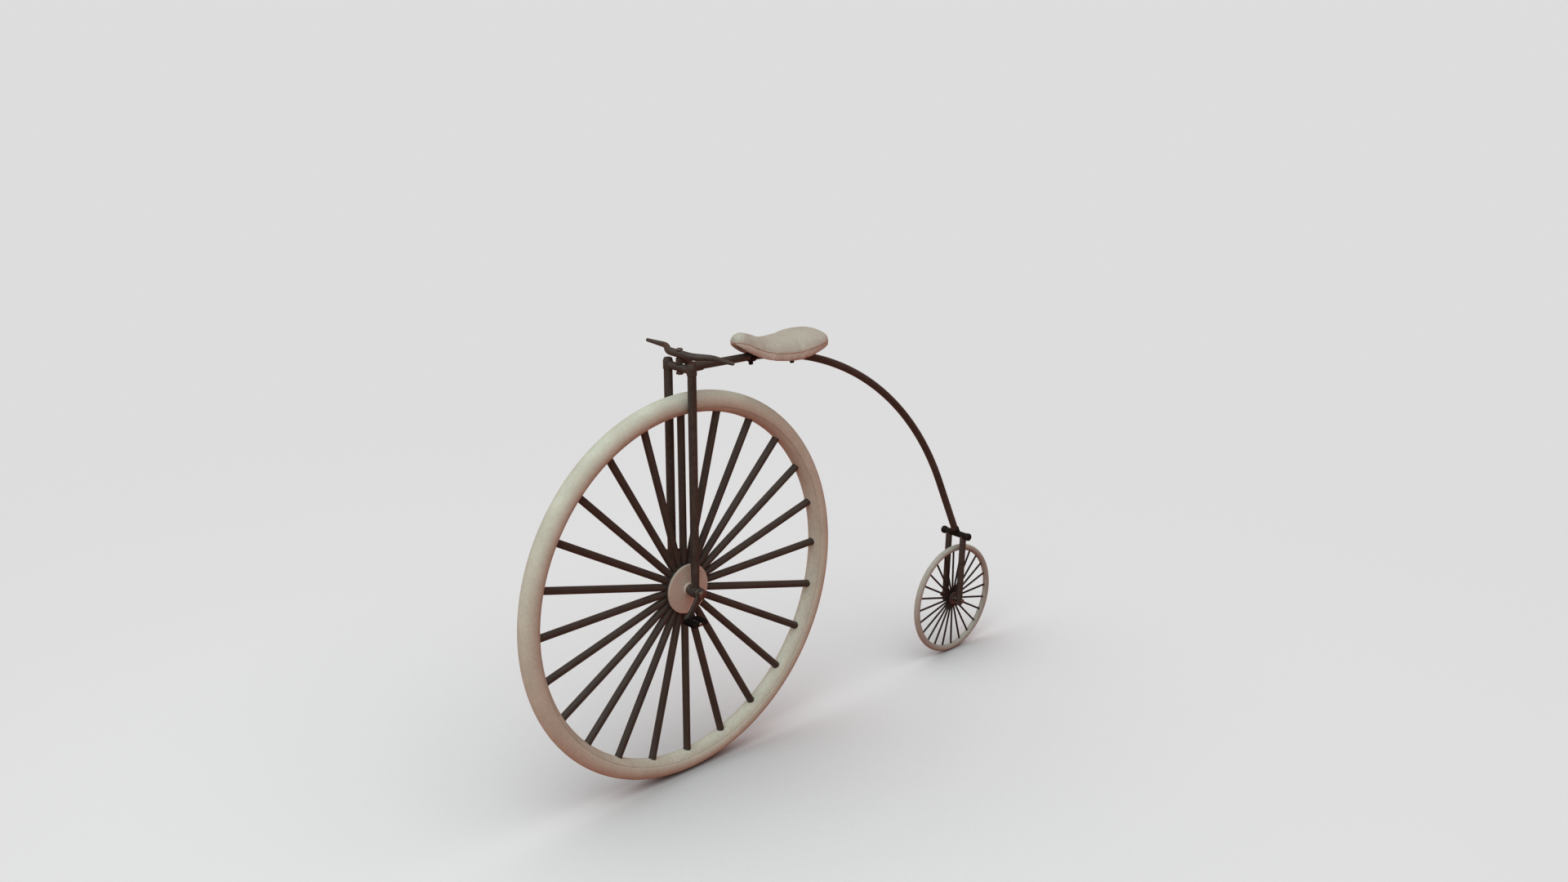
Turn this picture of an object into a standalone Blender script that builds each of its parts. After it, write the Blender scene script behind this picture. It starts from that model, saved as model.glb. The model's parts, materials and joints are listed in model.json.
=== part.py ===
"""A penny-farthing: a tall front wheel driven by cranks on its axle, and a small rear wheel.

Lengths are in metres. The machine is laid out from the point on the ground below the front
axle, with X forward, Y to the rider's left and Z up. An empty then carries all of it so that
the world origin is where the rider sits.
"""

import math
from collections import namedtuple

import bmesh
import bpy
from mathutils import Matrix, Vector

# Fits
SEAT_GAP = 0.0003  # between two pieces that touch
RUNNING_GAP = 0.0004  # between a pin and the bore that turns on it
DRAFT = 0.004  # how far a cutter stands out past the wall that it cuts

# Front wheel
FRONT_RADIUS = 0.660
FRONT_SECTION = 0.035  # half of the round section of tyre and rim together
FRONT_RIM_DEPTH = 0.020
FRONT_SPOKE_RADIUS = 0.0125
FRONT_NAVE_GRIP = 0.0110  # how deep a spoke sits in the nave
FRONT_NAVE_HALF_WIDTH = 0.0150
FRONT_PLATE_LIP = 0.0020  # how far a plate stands out past the nave
FRONT_PLATE_THICKNESS = 0.0085
FRONT_BOSS_WALL = 0.0085
FRONT_BOSS_HEIGHT = 0.006
FRONT_AXLE_RADIUS = 0.012

# Rear wheel
REAR_RADIUS = 0.216
REAR_SECTION = 0.01175
REAR_RIM_DEPTH = 0.007
REAR_SPOKE_RADIUS = 0.00375
REAR_NAVE_GRIP = 0.0027
REAR_NAVE_HALF_WIDTH = 0.0060
REAR_PLATE_LIP = 0.0010
REAR_PLATE_THICKNESS = 0.0030
REAR_BOSS_WALL = 0.0040
REAR_BOSS_HEIGHT = 0.0030
REAR_AXLE_RADIUS = 0.005
WHEELBASE = 1.3672

SPOKES = 24
SPOKE_TAPER = 0.72  # a spoke's thickness at the nave, as a share of the rest
SPOKE_SPACE = 1.03  # how much room the bars have beside each other where they start
SOCKET_DEPTH = 0.42  # how far a spoke enters the rim, as a share of the rim's depth
PLATE_CHAMFER = 0.18  # as a share of the plate's thickness
BOSS_FLARE = 1.12  # a boss's radius at its root, as a share of its end's

# Fork
LEG_RADIUS = 0.0143
TYRE_TO_LEG = 0.0077
LEG_ABOVE_CROWN = 0.022
LEG_ROOT = 0.060  # the run above the axle over which a leg slims down to its eye
LEG_EYE_WALL = 0.0076
LEG_EYE_HALF_WIDTH = 0.0125
LEG_DOME = 0.25  # the height of a leg's domed top, as a share of its radius
CROWN_ABOVE_TYRE = 0.086
CROWN_RADIUS = 0.013
CROWN_COLLAR_WALL = 0.0026
CROWN_COLLAR_LIP = 0.0020  # how far a collar stands out above and below the crown
SPINDLE_RADIUS = 0.0065
SPINDLE_HEAD_LIP = 0.0045
SPINDLE_HEAD_HEIGHT = 0.0065
SPINDLE_NUT_LIP = 0.0060
SPINDLE_NUT_HEIGHT = 0.0080

# Head: an eye round the spindle, a neck, and a socket on the backbone's end
EYE_LENGTH = 0.0182
EYE_WALL = 0.0056
NECK_RADIUS = 0.0078
SOCKET_WALL = 0.0030
SOCKET_LENGTH = 0.026
TAIL_OVERLAP = 0.30  # how much of the tail's socket is drawn up the backbone

# Handlebar
BAR_RADIUS = 0.0125
BAR_TIP_RADIUS = 0.0055
BAR_STRAIGHT = 0.040  # half of the straight run across the head
BAR_BEND = 0.085  # the run over which each side sweeps back
BAR_SWEEP = 0.040  # how far it sweeps
BAR_END = 0.085  # the last run, out to the tip

# Backbone: two straight ends and one long arc over the wheel between them
BACKBONE_RADIUS = 0.013
BACKBONE_SETBACK = 0.066  # from the spindle to its front end
BACKBONE_DROP = 0.0085  # from the crown's middle to its front end
BACKBONE_FALL = 3.0  # degrees below level at the front
BACKBONE_TAIL_FALL = 65.3  # and at the tail
BACKBONE_RUN = 0.217  # least straight run at the front
BACKBONE_TAIL = 0.242  # and at the tail

# Rear fork
CROSSBAR_RADIUS = 0.012
TAIL_SHORT = 0.43  # how far the backbone ends before the bar's middle, as a share of its radius
CROSSBAR_ABOVE_TYRE = 0.0475
CROSSBAR_BEHIND_AXLE = 0.0119
CROSSBAR_BEYOND_LEG = 0.0028
CROSSBAR_CAP_RADIUS = 0.0145
CROSSBAR_CAP_LENGTH = 0.020
REAR_LEG_RADIUS = 0.0122
REAR_TYRE_TO_LEG = 0.01105
REAR_LEG_BELOW_AXLE = 0.020
REAR_COLLAR_WALL = 0.0030
REAR_NUT_WALL = 0.0050
REAR_NUT_THICKNESS = 0.0060
AXLE_END = 0.0015  # how far an axle stands out past its nut

# Cranks and pedals
CRANK_LENGTH = 0.0900
CRANK_ANGLE = 38.0  # degrees ahead of straight down, on the left
LEG_TO_CRANK = 0.0056
CRANK_THICKNESS = 0.0110
CRANK_AXLE_WALL = 0.0060
CRANK_PIN_WALL = 0.0088
CRANK_WAIST = 0.0190
CRANK_WAIST_PLACE = 0.45  # as a share of the crank's length
CRANK_TO_PEDAL = 0.0040
AXLE_COLLAR_WALL = 0.0055
AXLE_NUT_WALL = 0.0055
AXLE_NUT_THICKNESS = 0.0070
PEDAL_PIN_RADIUS = 0.0040
PEDAL_BARREL_WALL = 0.0024
PEDAL_WIDTH = 0.052  # along the pin
PEDAL_LENGTH = 0.060  # across it
PEDAL_THICKNESS = 0.014
PEDAL_PLATE = 0.0030
BARREL_TO_TREAD = 0.0037
TREAD_EDGE = 0.0012

# Saddle
SADDLE_STATIONS = (
    # x, half width, top and lower edge above the backbone's front end, solid share
    (-0.2300, 0.016, 0.0550, 0.0410, 0.90),
    (-0.2370, 0.026, 0.0695, 0.0340, 0.90),
    (-0.2510, 0.034, 0.0765, 0.0240, 0.80),
    (-0.2680, 0.039, 0.0765, 0.0120, 0.50),
    (-0.2970, 0.046, 0.0600, -0.0050, 0.36),
    (-0.3300, 0.057, 0.0440, -0.0195, 0.34),
    (-0.3650, 0.070, 0.0355, -0.0290, 0.31),
    (-0.4120, 0.083, 0.0320, -0.0355, 0.30),
    (-0.4620, 0.091, 0.0315, -0.0375, 0.35),
    (-0.5150, 0.096, 0.0345, -0.0285, 0.52),
    (-0.5600, 0.094, 0.0325, -0.0165, 0.72),
    (-0.5860, 0.085, 0.0270, -0.0110, 0.84),
    (-0.6010, 0.068, 0.0180, -0.0080, 0.88),
)
SADDLE_WALL = 0.016  # thickness of the pad at its edges
THIN_SHARE = 0.45  # and the most that it takes up of a narrow section's half width
ARCH_FULLNESS = 0.62  # under 1 squares up the shoulders of the pad's section
PAN_THICKNESS = 0.0030
PAN_FRONT = -0.280
PAN_REAR = -0.530
CLIP_FRONT = -0.308
CLIP_REAR = -0.500
CLIP_WALL = 0.0040
CLIP_GAP = 0.0007  # a straight ring on the bent tube
CLIP_LENGTH = 0.024
CLIP_POST_RADIUS = 0.0070

# Where the rider sits: the top of the pad above this X becomes the world origin
RIDER_X = -0.462

# Facets
FRONT_STEPS = 56
FRONT_SECTION_STEPS = 9
FRONT_PLATE_STEPS = 24
FRONT_SPOKE_STEPS = 8
REAR_STEPS = 36
REAR_SECTION_STEPS = 8
REAR_PLATE_STEPS = 16
REAR_SPOKE_STEPS = 6
ROUND_STEPS = 16
TUBE_STEPS = 16
PIN_STEPS = 12
BACKBONE_STEPS = 20
BAR_STEPS = 13
NECK_STEPS = 6
ARCH_STEPS = 12
PAN_INSET = 3  # arch points at each side that the pan leaves free
SHARP_ANGLE = math.radians(32)
MERGE = 1e-6

SIDES = (("left", 1), ("right", -1))
ALONG_Y = Vector((0, 1, 0))
UPRIGHT = Vector((0, 0, 1))

# Sizes that follow from those above
LEG_SPREAD = FRONT_SECTION + TYRE_TO_LEG + LEG_RADIUS
CROWN_HEIGHT = 2 * FRONT_RADIUS + CROWN_ABOVE_TYRE
EYE_LOW = CROWN_HEIGHT + CROWN_RADIUS + RUNNING_GAP
EYE_HIGH = EYE_LOW + EYE_LENGTH
BAR_HEIGHT = EYE_HIGH + RUNNING_GAP + BAR_RADIUS
CRANK_INSIDE = LEG_SPREAD + LEG_RADIUS + LEG_TO_CRANK
CRANK_OUTSIDE = CRANK_INSIDE + CRANK_THICKNESS
PEDAL_INSIDE = CRANK_OUTSIDE + CRANK_TO_PEDAL
PEDAL_BARREL_RADIUS = PEDAL_PIN_RADIUS + RUNNING_GAP + PEDAL_BARREL_WALL
REAR_LEG_SPREAD = REAR_SECTION + REAR_TYRE_TO_LEG + REAR_LEG_RADIUS
CROSSBAR_REACH = REAR_LEG_SPREAD + REAR_LEG_RADIUS + CROSSBAR_BEYOND_LEG
SOCKET_RADIUS = BACKBONE_RADIUS + SEAT_GAP + SOCKET_WALL
CROSSBAR = Vector(
    (-WHEELBASE - CROSSBAR_BEHIND_AXLE, 0, 2 * REAR_RADIUS + CROSSBAR_ABOVE_TYRE)
)

Wheel = namedtuple(
    "Wheel",
    "radius section rim_depth spoke_radius nave_grip nave_half_width plate_lip"
    " plate_thickness boss_wall boss_height bore steps section_steps plate_steps spoke_steps",
)
FRONT = Wheel(
    FRONT_RADIUS,
    FRONT_SECTION,
    FRONT_RIM_DEPTH,
    FRONT_SPOKE_RADIUS,
    FRONT_NAVE_GRIP,
    FRONT_NAVE_HALF_WIDTH,
    FRONT_PLATE_LIP,
    FRONT_PLATE_THICKNESS,
    FRONT_BOSS_WALL,
    FRONT_BOSS_HEIGHT,
    FRONT_AXLE_RADIUS + SEAT_GAP,
    FRONT_STEPS,
    FRONT_SECTION_STEPS,
    FRONT_PLATE_STEPS,
    FRONT_SPOKE_STEPS,
)
REAR = Wheel(
    REAR_RADIUS,
    REAR_SECTION,
    REAR_RIM_DEPTH,
    REAR_SPOKE_RADIUS,
    REAR_NAVE_GRIP,
    REAR_NAVE_HALF_WIDTH,
    REAR_PLATE_LIP,
    REAR_PLATE_THICKNESS,
    REAR_BOSS_WALL,
    REAR_BOSS_HEIGHT,
    REAR_AXLE_RADIUS + RUNNING_GAP,
    REAR_STEPS,
    REAR_SECTION_STEPS,
    REAR_PLATE_STEPS,
    REAR_SPOKE_STEPS,
)


# Surfaces


def material(name, colour, roughness, metallic=0.0):
    made = bpy.data.materials.new(name)
    made.use_nodes = True
    shader = made.node_tree.nodes["Principled BSDF"]
    shader.inputs["Base Color"].default_value = (*colour, 1.0)
    shader.inputs["Roughness"].default_value = roughness
    shader.inputs["Metallic"].default_value = metallic
    return made


PAINT = material("frame_paint", (0.060, 0.046, 0.037), 0.42)
BLACK = material("black_iron", (0.012, 0.011, 0.011), 0.45)
RUBBER = material("tyre_rubber", (0.50, 0.50, 0.42), 0.75)
FELLOE = material("rim_paint", (0.47, 0.46, 0.39), 0.60)
SPOKE = material("spoke_finish", (0.055, 0.036, 0.028), 0.50)
HUB = material("hub_paint", (0.37, 0.22, 0.16), 0.50)
STEEL = material("steel", (0.42, 0.41, 0.40), 0.32, 1.0)
LEATHER = material("saddle_leather", (0.50, 0.46, 0.39), 0.65)
TREAD = material("pedal_rubber", (0.016, 0.015, 0.015), 0.70)


# Making objects


def pivot(name, parent, place):
    """An empty on a joint's axis, which carries what moves with it."""
    empty = bpy.data.objects.new(name, None)
    bpy.context.scene.collection.objects.link(empty)
    empty.parent = parent
    empty.location = place
    return empty


def solid(name, bm, surface, parent, place=(0, 0, 0)):
    """Makes an object of a bmesh, with its normals outwards and its round faces smooth."""
    bmesh.ops.recalc_face_normals(bm, faces=bm.faces)
    mesh = bpy.data.meshes.new(name)
    bm.to_mesh(mesh)
    bm.free()
    mesh.shade_smooth()
    mesh.set_sharp_from_angle(angle=SHARP_ANGLE)
    mesh.materials.append(surface)
    made = bpy.data.objects.new(name, mesh)
    bpy.context.scene.collection.objects.link(made)
    made.parent = parent
    made.location = place
    return made


def combine(piece, name, bm, operation):
    """Joins a shape to a piece or cuts it out, in the piece's own coordinates."""
    other = solid(name, bm, STEEL, piece.parent, piece.location)
    other.hide_render = True
    other.display_type = "WIRE"
    change = piece.modifiers.new(name, "BOOLEAN")
    change.operation = operation
    change.object = other


def join(piece, name, bm):
    combine(piece, name, bm, "UNION")


def cut(piece, name, bm):
    combine(piece, name, bm, "DIFFERENCE")


# Making shapes


def between(low, high, count):
    return [low + (high - low) * i / (count - 1) for i in range(count)]


def eased(share):
    """A share from 0 to 1 that starts and ends gently."""
    return share * share * (3 - 2 * share)


def rod(radius, length, steps, centre=(0, 0, 0), direction=ALONG_Y):
    """A closed round bar about its centre."""
    bm = bmesh.new()
    turn = UPRIGHT.rotation_difference(direction).to_matrix().to_4x4()
    bmesh.ops.create_cone(
        bm,
        cap_ends=True,
        segments=steps,
        radius1=radius,
        radius2=radius,
        depth=length,
        matrix=Matrix.Translation(centre) @ turn,
    )
    return bm


def turned(profile, steps, closed=False):
    """Turns an outline of (along, radius) points about the Y axis."""
    bm = bmesh.new()
    points = [bm.verts.new((0, along, radius)) for along, radius in profile]
    followers = points[1:] + points[:1] if closed else points[1:]
    edges = [bm.edges.new(pair) for pair in zip(points, followers)]
    bmesh.ops.spin(
        bm,
        geom=points + edges,
        cent=(0, 0, 0),
        axis=ALONG_Y,
        angle=math.tau,
        steps=steps,
        use_merge=True,
    )
    bmesh.ops.remove_doubles(bm, verts=bm.verts, dist=MERGE)
    return bm


def ring(bm, centre, across, up, radius, steps):
    """Adds a circle of points round a centre, in the plane of two directions."""
    points = []
    for step in range(steps):
        angle = math.tau * step / steps
        offset = across * (radius * math.cos(angle)) + up * (radius * math.sin(angle))
        points.append(bm.verts.new(centre + offset))
    return points


def skin(bm, rings):
    """Closes a row of point rings into one body."""
    for first, second in zip(rings, rings[1:]):
        for i in range(len(first)):
            j = (i + 1) % len(first)
            bm.faces.new((first[i], first[j], second[j], second[i]))
    bm.faces.new(rings[0])
    bm.faces.new(rings[-1])


def tube(path, radii, steps, side=ALONG_Y):
    """A round tube along a path that stays square to one side direction."""
    bm = bmesh.new()
    rings = []
    for i, centre in enumerate(path):
        along = path[min(i + 1, len(path) - 1)] - path[max(i - 1, 0)]
        across = (side - along * (side.dot(along) / along.length_squared)).normalized()
        up = across.cross(along).normalized()
        rings.append(ring(bm, centre, across, up, radii[i], steps))
    skin(bm, rings)
    return bm


def block(length, width, thickness, centre, edge):
    """A box with its edges cut off."""
    bm = bmesh.new()
    sized = Matrix.Translation(centre) @ Matrix.Diagonal((length, width, thickness, 1))
    bmesh.ops.create_cube(bm, size=1.0, matrix=sized)
    bmesh.ops.bevel(bm, geom=bm.edges, offset=edge, segments=1, affect="EDGES")
    return bm


def nut(name, radius, thickness, hole, hole_steps, centre, direction, parent):
    """A six-sided nut on a bar of a radius, its hole."""
    made = solid(name, rod(radius, thickness, 6, centre, direction), STEEL, parent)
    through = thickness + 2 * DRAFT
    cut(made, f"{name}_bore", rod(hole + SEAT_GAP, through, hole_steps, centre, direction))


# Wheels


def spoke_root(size):
    """The radius at which the spokes have just room beside each other."""
    return SPOKE_SPACE * SPOKE_TAPER * size.spoke_radius / math.sin(math.pi / SPOKES)


def nave_radius(size):
    return spoke_root(size) + size.nave_grip


def hub_half_width(size):
    return size.nave_half_width + SEAT_GAP + size.plate_thickness + size.boss_height


def spoke_bars(size, start, end, extra):
    """All spokes of a wheel as separate bars, made thicker by an allowance."""
    bm = bmesh.new()
    stations = (
        # distance from the axle, radius
        (start, SPOKE_TAPER * size.spoke_radius + extra),
        (nave_radius(size) + 2.4 * size.spoke_radius, size.spoke_radius + extra),
        (end, size.spoke_radius + extra),
    )
    for number in range(SPOKES):
        angle = math.tau * number / SPOKES
        out = Vector((math.sin(angle), 0, math.cos(angle)))
        side = Vector((math.cos(angle), 0, -math.sin(angle)))
        rings = [
            ring(bm, out * distance, side, ALONG_Y, radius, size.spoke_steps)
            for distance, radius in stations
        ]
        skin(bm, rings)
    return bm


def section_arc(size, start, end, steps, drop):
    """Points of a wheel's round section from one angle to another, nearer the axle by a drop."""
    middle = size.radius - size.section
    return [
        (size.section * math.cos(angle), middle + size.section * math.sin(angle) - drop)
        for angle in between(start, end, steps)
    ]


def wheel(name, size, parent):
    """Tyre, rim, spokes with their nave, and two hub plates, round the parent's Y axis."""
    rim_inside = size.radius - 2 * size.section
    seat = math.asin((size.rim_depth - size.section) / size.section)
    tyre = section_arc(size, seat, math.pi - seat, size.section_steps, 0.0)
    solid(f"{name}_tyre", turned(tyre, size.steps, closed=True), RUBBER, parent)

    rim = section_arc(size, seat, -math.pi - seat, size.section_steps - 4, SEAT_GAP)
    rim_body = solid(f"{name}_rim", turned(rim, size.steps, closed=True), FELLOE, parent)
    spoke_end = rim_inside + SOCKET_DEPTH * size.rim_depth
    sockets = spoke_bars(size, nave_radius(size), spoke_end + SEAT_GAP, SEAT_GAP)
    cut(rim_body, f"{name}_rim_sockets", sockets)

    half = size.nave_half_width
    nave = [
        (-half, size.bore),
        (-half, nave_radius(size)),
        (half, nave_radius(size)),
        (half, size.bore),
    ]
    nave_body = turned(nave, size.plate_steps, closed=True)
    spokes = solid(f"{name}_spokes", nave_body, SPOKE, parent)
    join(spokes, f"{name}_spoke_bars", spoke_bars(size, spoke_root(size), spoke_end, 0.0))
    for side, sign in SIDES:
        hub_plate(f"{name}_hub_plate_{side}", size, sign, parent)


def hub_plate(name, size, sign, parent):
    """A round plate over the nave's end, with a boss round the axle."""
    inside = size.nave_half_width + SEAT_GAP
    outside = inside + size.plate_thickness
    edge = nave_radius(size) + size.plate_lip
    chamfer = PLATE_CHAMFER * size.plate_thickness
    boss = size.bore + size.boss_wall
    profile = (
        # along the axle, radius
        (inside, size.bore),
        (inside, edge),
        (outside - chamfer, edge),
        (outside, edge - chamfer),
        (outside, BOSS_FLARE * boss),
        (outside + size.boss_height, boss),
        (outside + size.boss_height, size.bore),
    )
    profile = [(sign * along, radius) for along, radius in profile]
    solid(name, turned(profile, size.plate_steps, closed=True), HUB, parent)


def front_axle(parent):
    """The axle that is fixed in the front wheel, with a collar on each side of each leg."""
    collar = FRONT_AXLE_RADIUS + AXLE_COLLAR_WALL
    eye_inside = LEG_SPREAD - LEG_EYE_HALF_WIDTH
    eye_outside = LEG_SPREAD + LEG_EYE_HALF_WIDTH
    nut_inside = CRANK_OUTSIDE + SEAT_GAP
    end = nut_inside + AXLE_NUT_THICKNESS + AXLE_END
    half = [
        # along the axle, radius
        (hub_half_width(FRONT) + SEAT_GAP, FRONT_AXLE_RADIUS),
        (hub_half_width(FRONT) + SEAT_GAP, collar),
        (eye_inside - RUNNING_GAP, collar),
        (eye_inside - RUNNING_GAP, FRONT_AXLE_RADIUS),
        (eye_outside + RUNNING_GAP, FRONT_AXLE_RADIUS),
        (eye_outside + RUNNING_GAP, collar),
        (CRANK_INSIDE - SEAT_GAP, collar),
        (CRANK_INSIDE - SEAT_GAP, FRONT_AXLE_RADIUS),
        (end, FRONT_AXLE_RADIUS),
        (end, 0.0),
    ]
    profile = [(-along, radius) for along, radius in reversed(half)] + half
    solid("front_axle", turned(profile, ROUND_STEPS), STEEL, parent)
    for side, sign in SIDES:
        nut(
            f"axle_nut_{side}",
            FRONT_AXLE_RADIUS + AXLE_NUT_WALL,
            AXLE_NUT_THICKNESS,
            FRONT_AXLE_RADIUS,
            ROUND_STEPS,
            ALONG_Y * sign * (nut_inside + AXLE_NUT_THICKNESS / 2),
            ALONG_Y,
            parent,
        )
        crank(side, sign, parent)
        pedal_pin(side, sign, parent)


# Cranks and pedals


def crank_direction(sign):
    """The left crank points down and forward, and the right one the other way."""
    angle = math.radians(CRANK_ANGLE)
    return Vector((math.sin(angle), 0, -math.cos(angle))) * sign


def crank(side, sign, parent):
    """A flat arm, waisted between the eye on the axle and the eye on the pedal's pin."""
    out = crank_direction(sign)
    across = Vector((out.z, 0, -out.x))
    pin = out * CRANK_LENGTH
    middle = out * (CRANK_WAIST_PLACE * CRANK_LENGTH)
    axle_eye = FRONT_AXLE_RADIUS + SEAT_GAP + CRANK_AXLE_WALL
    pin_eye = PEDAL_PIN_RADIUS + SEAT_GAP + CRANK_PIN_WALL

    def arc(centre, radius, start, end, steps):
        return [
            centre + out * (radius * math.cos(angle)) + across * (radius * math.sin(angle))
            for angle in between(math.radians(start), math.radians(end), steps)
        ]

    outline = arc(Vector((0, 0, 0)), axle_eye, 55, 305, 13)
    outline.append(middle - across * (CRANK_WAIST / 2))
    outline += arc(pin, pin_eye, -110, 110, 11)
    outline.append(middle + across * (CRANK_WAIST / 2))
    bm = bmesh.new()
    rings = [
        [bm.verts.new(point + ALONG_Y * sign * depth) for point in outline]
        for depth in (CRANK_INSIDE, CRANK_OUTSIDE)
    ]
    skin(bm, rings)
    made = solid(f"crank_{side}", bm, PAINT, parent)
    centre = ALONG_Y * sign * (CRANK_INSIDE + CRANK_OUTSIDE) / 2
    through = CRANK_THICKNESS + 2 * DRAFT
    axle_bore = rod(FRONT_AXLE_RADIUS + SEAT_GAP, through, ROUND_STEPS, centre)
    cut(made, f"crank_axle_bore_{side}", axle_bore)
    pin_bore = rod(PEDAL_PIN_RADIUS + SEAT_GAP, through, PIN_STEPS, centre + pin)
    cut(made, f"crank_pin_bore_{side}", pin_bore)


def pedal_pin(side, sign, parent):
    """The pin in the crank's end, with a shoulder before the pedal and a head after it."""
    pedal_outside = PEDAL_INSIDE + PEDAL_WIDTH
    head = pedal_outside + 0.8 * PEDAL_PIN_RADIUS
    profile = (
        # along the pin, radius
        (CRANK_INSIDE, 0.0),
        (CRANK_INSIDE, PEDAL_PIN_RADIUS),
        (CRANK_OUTSIDE + SEAT_GAP, PEDAL_PIN_RADIUS),
        (CRANK_OUTSIDE + SEAT_GAP, PEDAL_BARREL_RADIUS),
        (PEDAL_INSIDE - RUNNING_GAP, PEDAL_BARREL_RADIUS),
        (PEDAL_INSIDE - RUNNING_GAP, PEDAL_PIN_RADIUS),
        (pedal_outside + RUNNING_GAP, PEDAL_PIN_RADIUS),
        (pedal_outside + RUNNING_GAP, PEDAL_BARREL_RADIUS),
        (head, 0.75 * PEDAL_BARREL_RADIUS),
        (head, 0.0),
    )
    profile = [(sign * along, radius) for along, radius in profile]
    place = crank_direction(sign) * CRANK_LENGTH
    solid(f"pedal_pin_{side}", turned(profile, PIN_STEPS), STEEL, parent, place)


def pedal(side, sign, parent):
    """Two end plates joined by a barrel on the pin, and two rubber treads between them."""
    middle = ALONG_Y * sign * (PEDAL_INSIDE + PEDAL_WIDTH / 2)
    barrel = rod(PEDAL_BARREL_RADIUS, PEDAL_WIDTH - PEDAL_PLATE, PIN_STEPS, middle)
    frame = solid(f"pedal_frame_{side}", barrel, BLACK, parent)
    reach = (PEDAL_WIDTH - PEDAL_PLATE) / 2
    for which, offset in (("inner", -reach), ("outer", reach)):
        centre = middle + ALONG_Y * sign * offset
        plate = block(PEDAL_LENGTH, PEDAL_PLATE, PEDAL_THICKNESS, centre, PEDAL_PLATE / 4)
        join(frame, f"pedal_{which}_plate_{side}", plate)
    bore = rod(PEDAL_PIN_RADIUS + RUNNING_GAP, PEDAL_WIDTH + 2 * DRAFT, PIN_STEPS, middle)
    cut(frame, f"pedal_bore_{side}", bore)

    tread_width = PEDAL_WIDTH - 2 * (PEDAL_PLATE + SEAT_GAP)
    tread_start = PEDAL_BARREL_RADIUS + BARREL_TO_TREAD
    tread_length = PEDAL_LENGTH / 2 - tread_start
    for which, forward in (("front", 1), ("rear", -1)):
        centre = middle + Vector((forward * (tread_start + tread_length / 2), 0, 0))
        tread = block(tread_length, tread_width, PEDAL_THICKNESS, centre, TREAD_EDGE)
        solid(f"pedal_tread_{which}_{side}", tread, TREAD, parent)


# Fork and handlebar


def fork(parent):
    """Two round legs, the crown between them, the spindle that steers, and the handlebar."""
    for side, sign in SIDES:
        fork_leg(side, sign, parent)
    crown(parent)
    spindle(parent)
    handlebar(parent)


def fork_leg(side, sign, parent):
    """A leg with a domed top and an eye for the axle at its foot."""
    place = ALONG_Y * sign * LEG_SPREAD
    top = CROWN_HEIGHT + LEG_ABOVE_CROWN
    dome = LEG_DOME * LEG_RADIUS
    stations = (
        # height, radius
        (FRONT_RADIUS, 0.98 * LEG_EYE_HALF_WIDTH),
        (FRONT_RADIUS + LEG_ROOT, LEG_RADIUS),
        (top - dome, LEG_RADIUS),
        (top - 0.35 * dome, 0.94 * LEG_RADIUS),
        (top, 0.80 * LEG_RADIUS),
    )
    path = [UPRIGHT * height for height, _ in stations]
    radii = [radius for _, radius in stations]
    leg = solid(f"fork_leg_{side}", tube(path, radii, TUBE_STEPS), PAINT, parent, place)
    centre = UPRIGHT * FRONT_RADIUS
    bore = FRONT_AXLE_RADIUS + RUNNING_GAP
    eye = rod(bore + LEG_EYE_WALL, 2 * LEG_EYE_HALF_WIDTH, ROUND_STEPS, centre)
    join(leg, f"leg_eye_{side}", eye)
    through = 2 * (LEG_EYE_HALF_WIDTH + DRAFT)
    cut(leg, f"leg_bore_{side}", rod(bore, through, ROUND_STEPS, centre))


def crown(parent):
    """The bar across the legs, with a collar round each of them and a bore for the spindle."""
    middle = UPRIGHT * CROWN_HEIGHT
    bar = rod(CROWN_RADIUS, 2 * LEG_SPREAD, TUBE_STEPS, middle)
    made = solid("fork_crown", bar, PAINT, parent)
    collar_height = 2 * (CROWN_RADIUS + CROWN_COLLAR_LIP)
    bore = LEG_RADIUS + SEAT_GAP
    through = collar_height + 2 * DRAFT
    for side, sign in SIDES:
        centre = middle + ALONG_Y * sign * LEG_SPREAD
        collar = rod(bore + CROWN_COLLAR_WALL, collar_height, TUBE_STEPS, centre, UPRIGHT)
        join(made, f"crown_collar_{side}", collar)
    for side, sign in SIDES:
        centre = middle + ALONG_Y * sign * LEG_SPREAD
        cut(made, f"crown_leg_bore_{side}", rod(bore, through, TUBE_STEPS, centre, UPRIGHT))
    hole = rod(
        SPINDLE_RADIUS + SEAT_GAP, 2 * (CROWN_RADIUS + DRAFT), PIN_STEPS, middle, UPRIGHT
    )
    cut(made, "crown_spindle_bore", hole)


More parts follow.
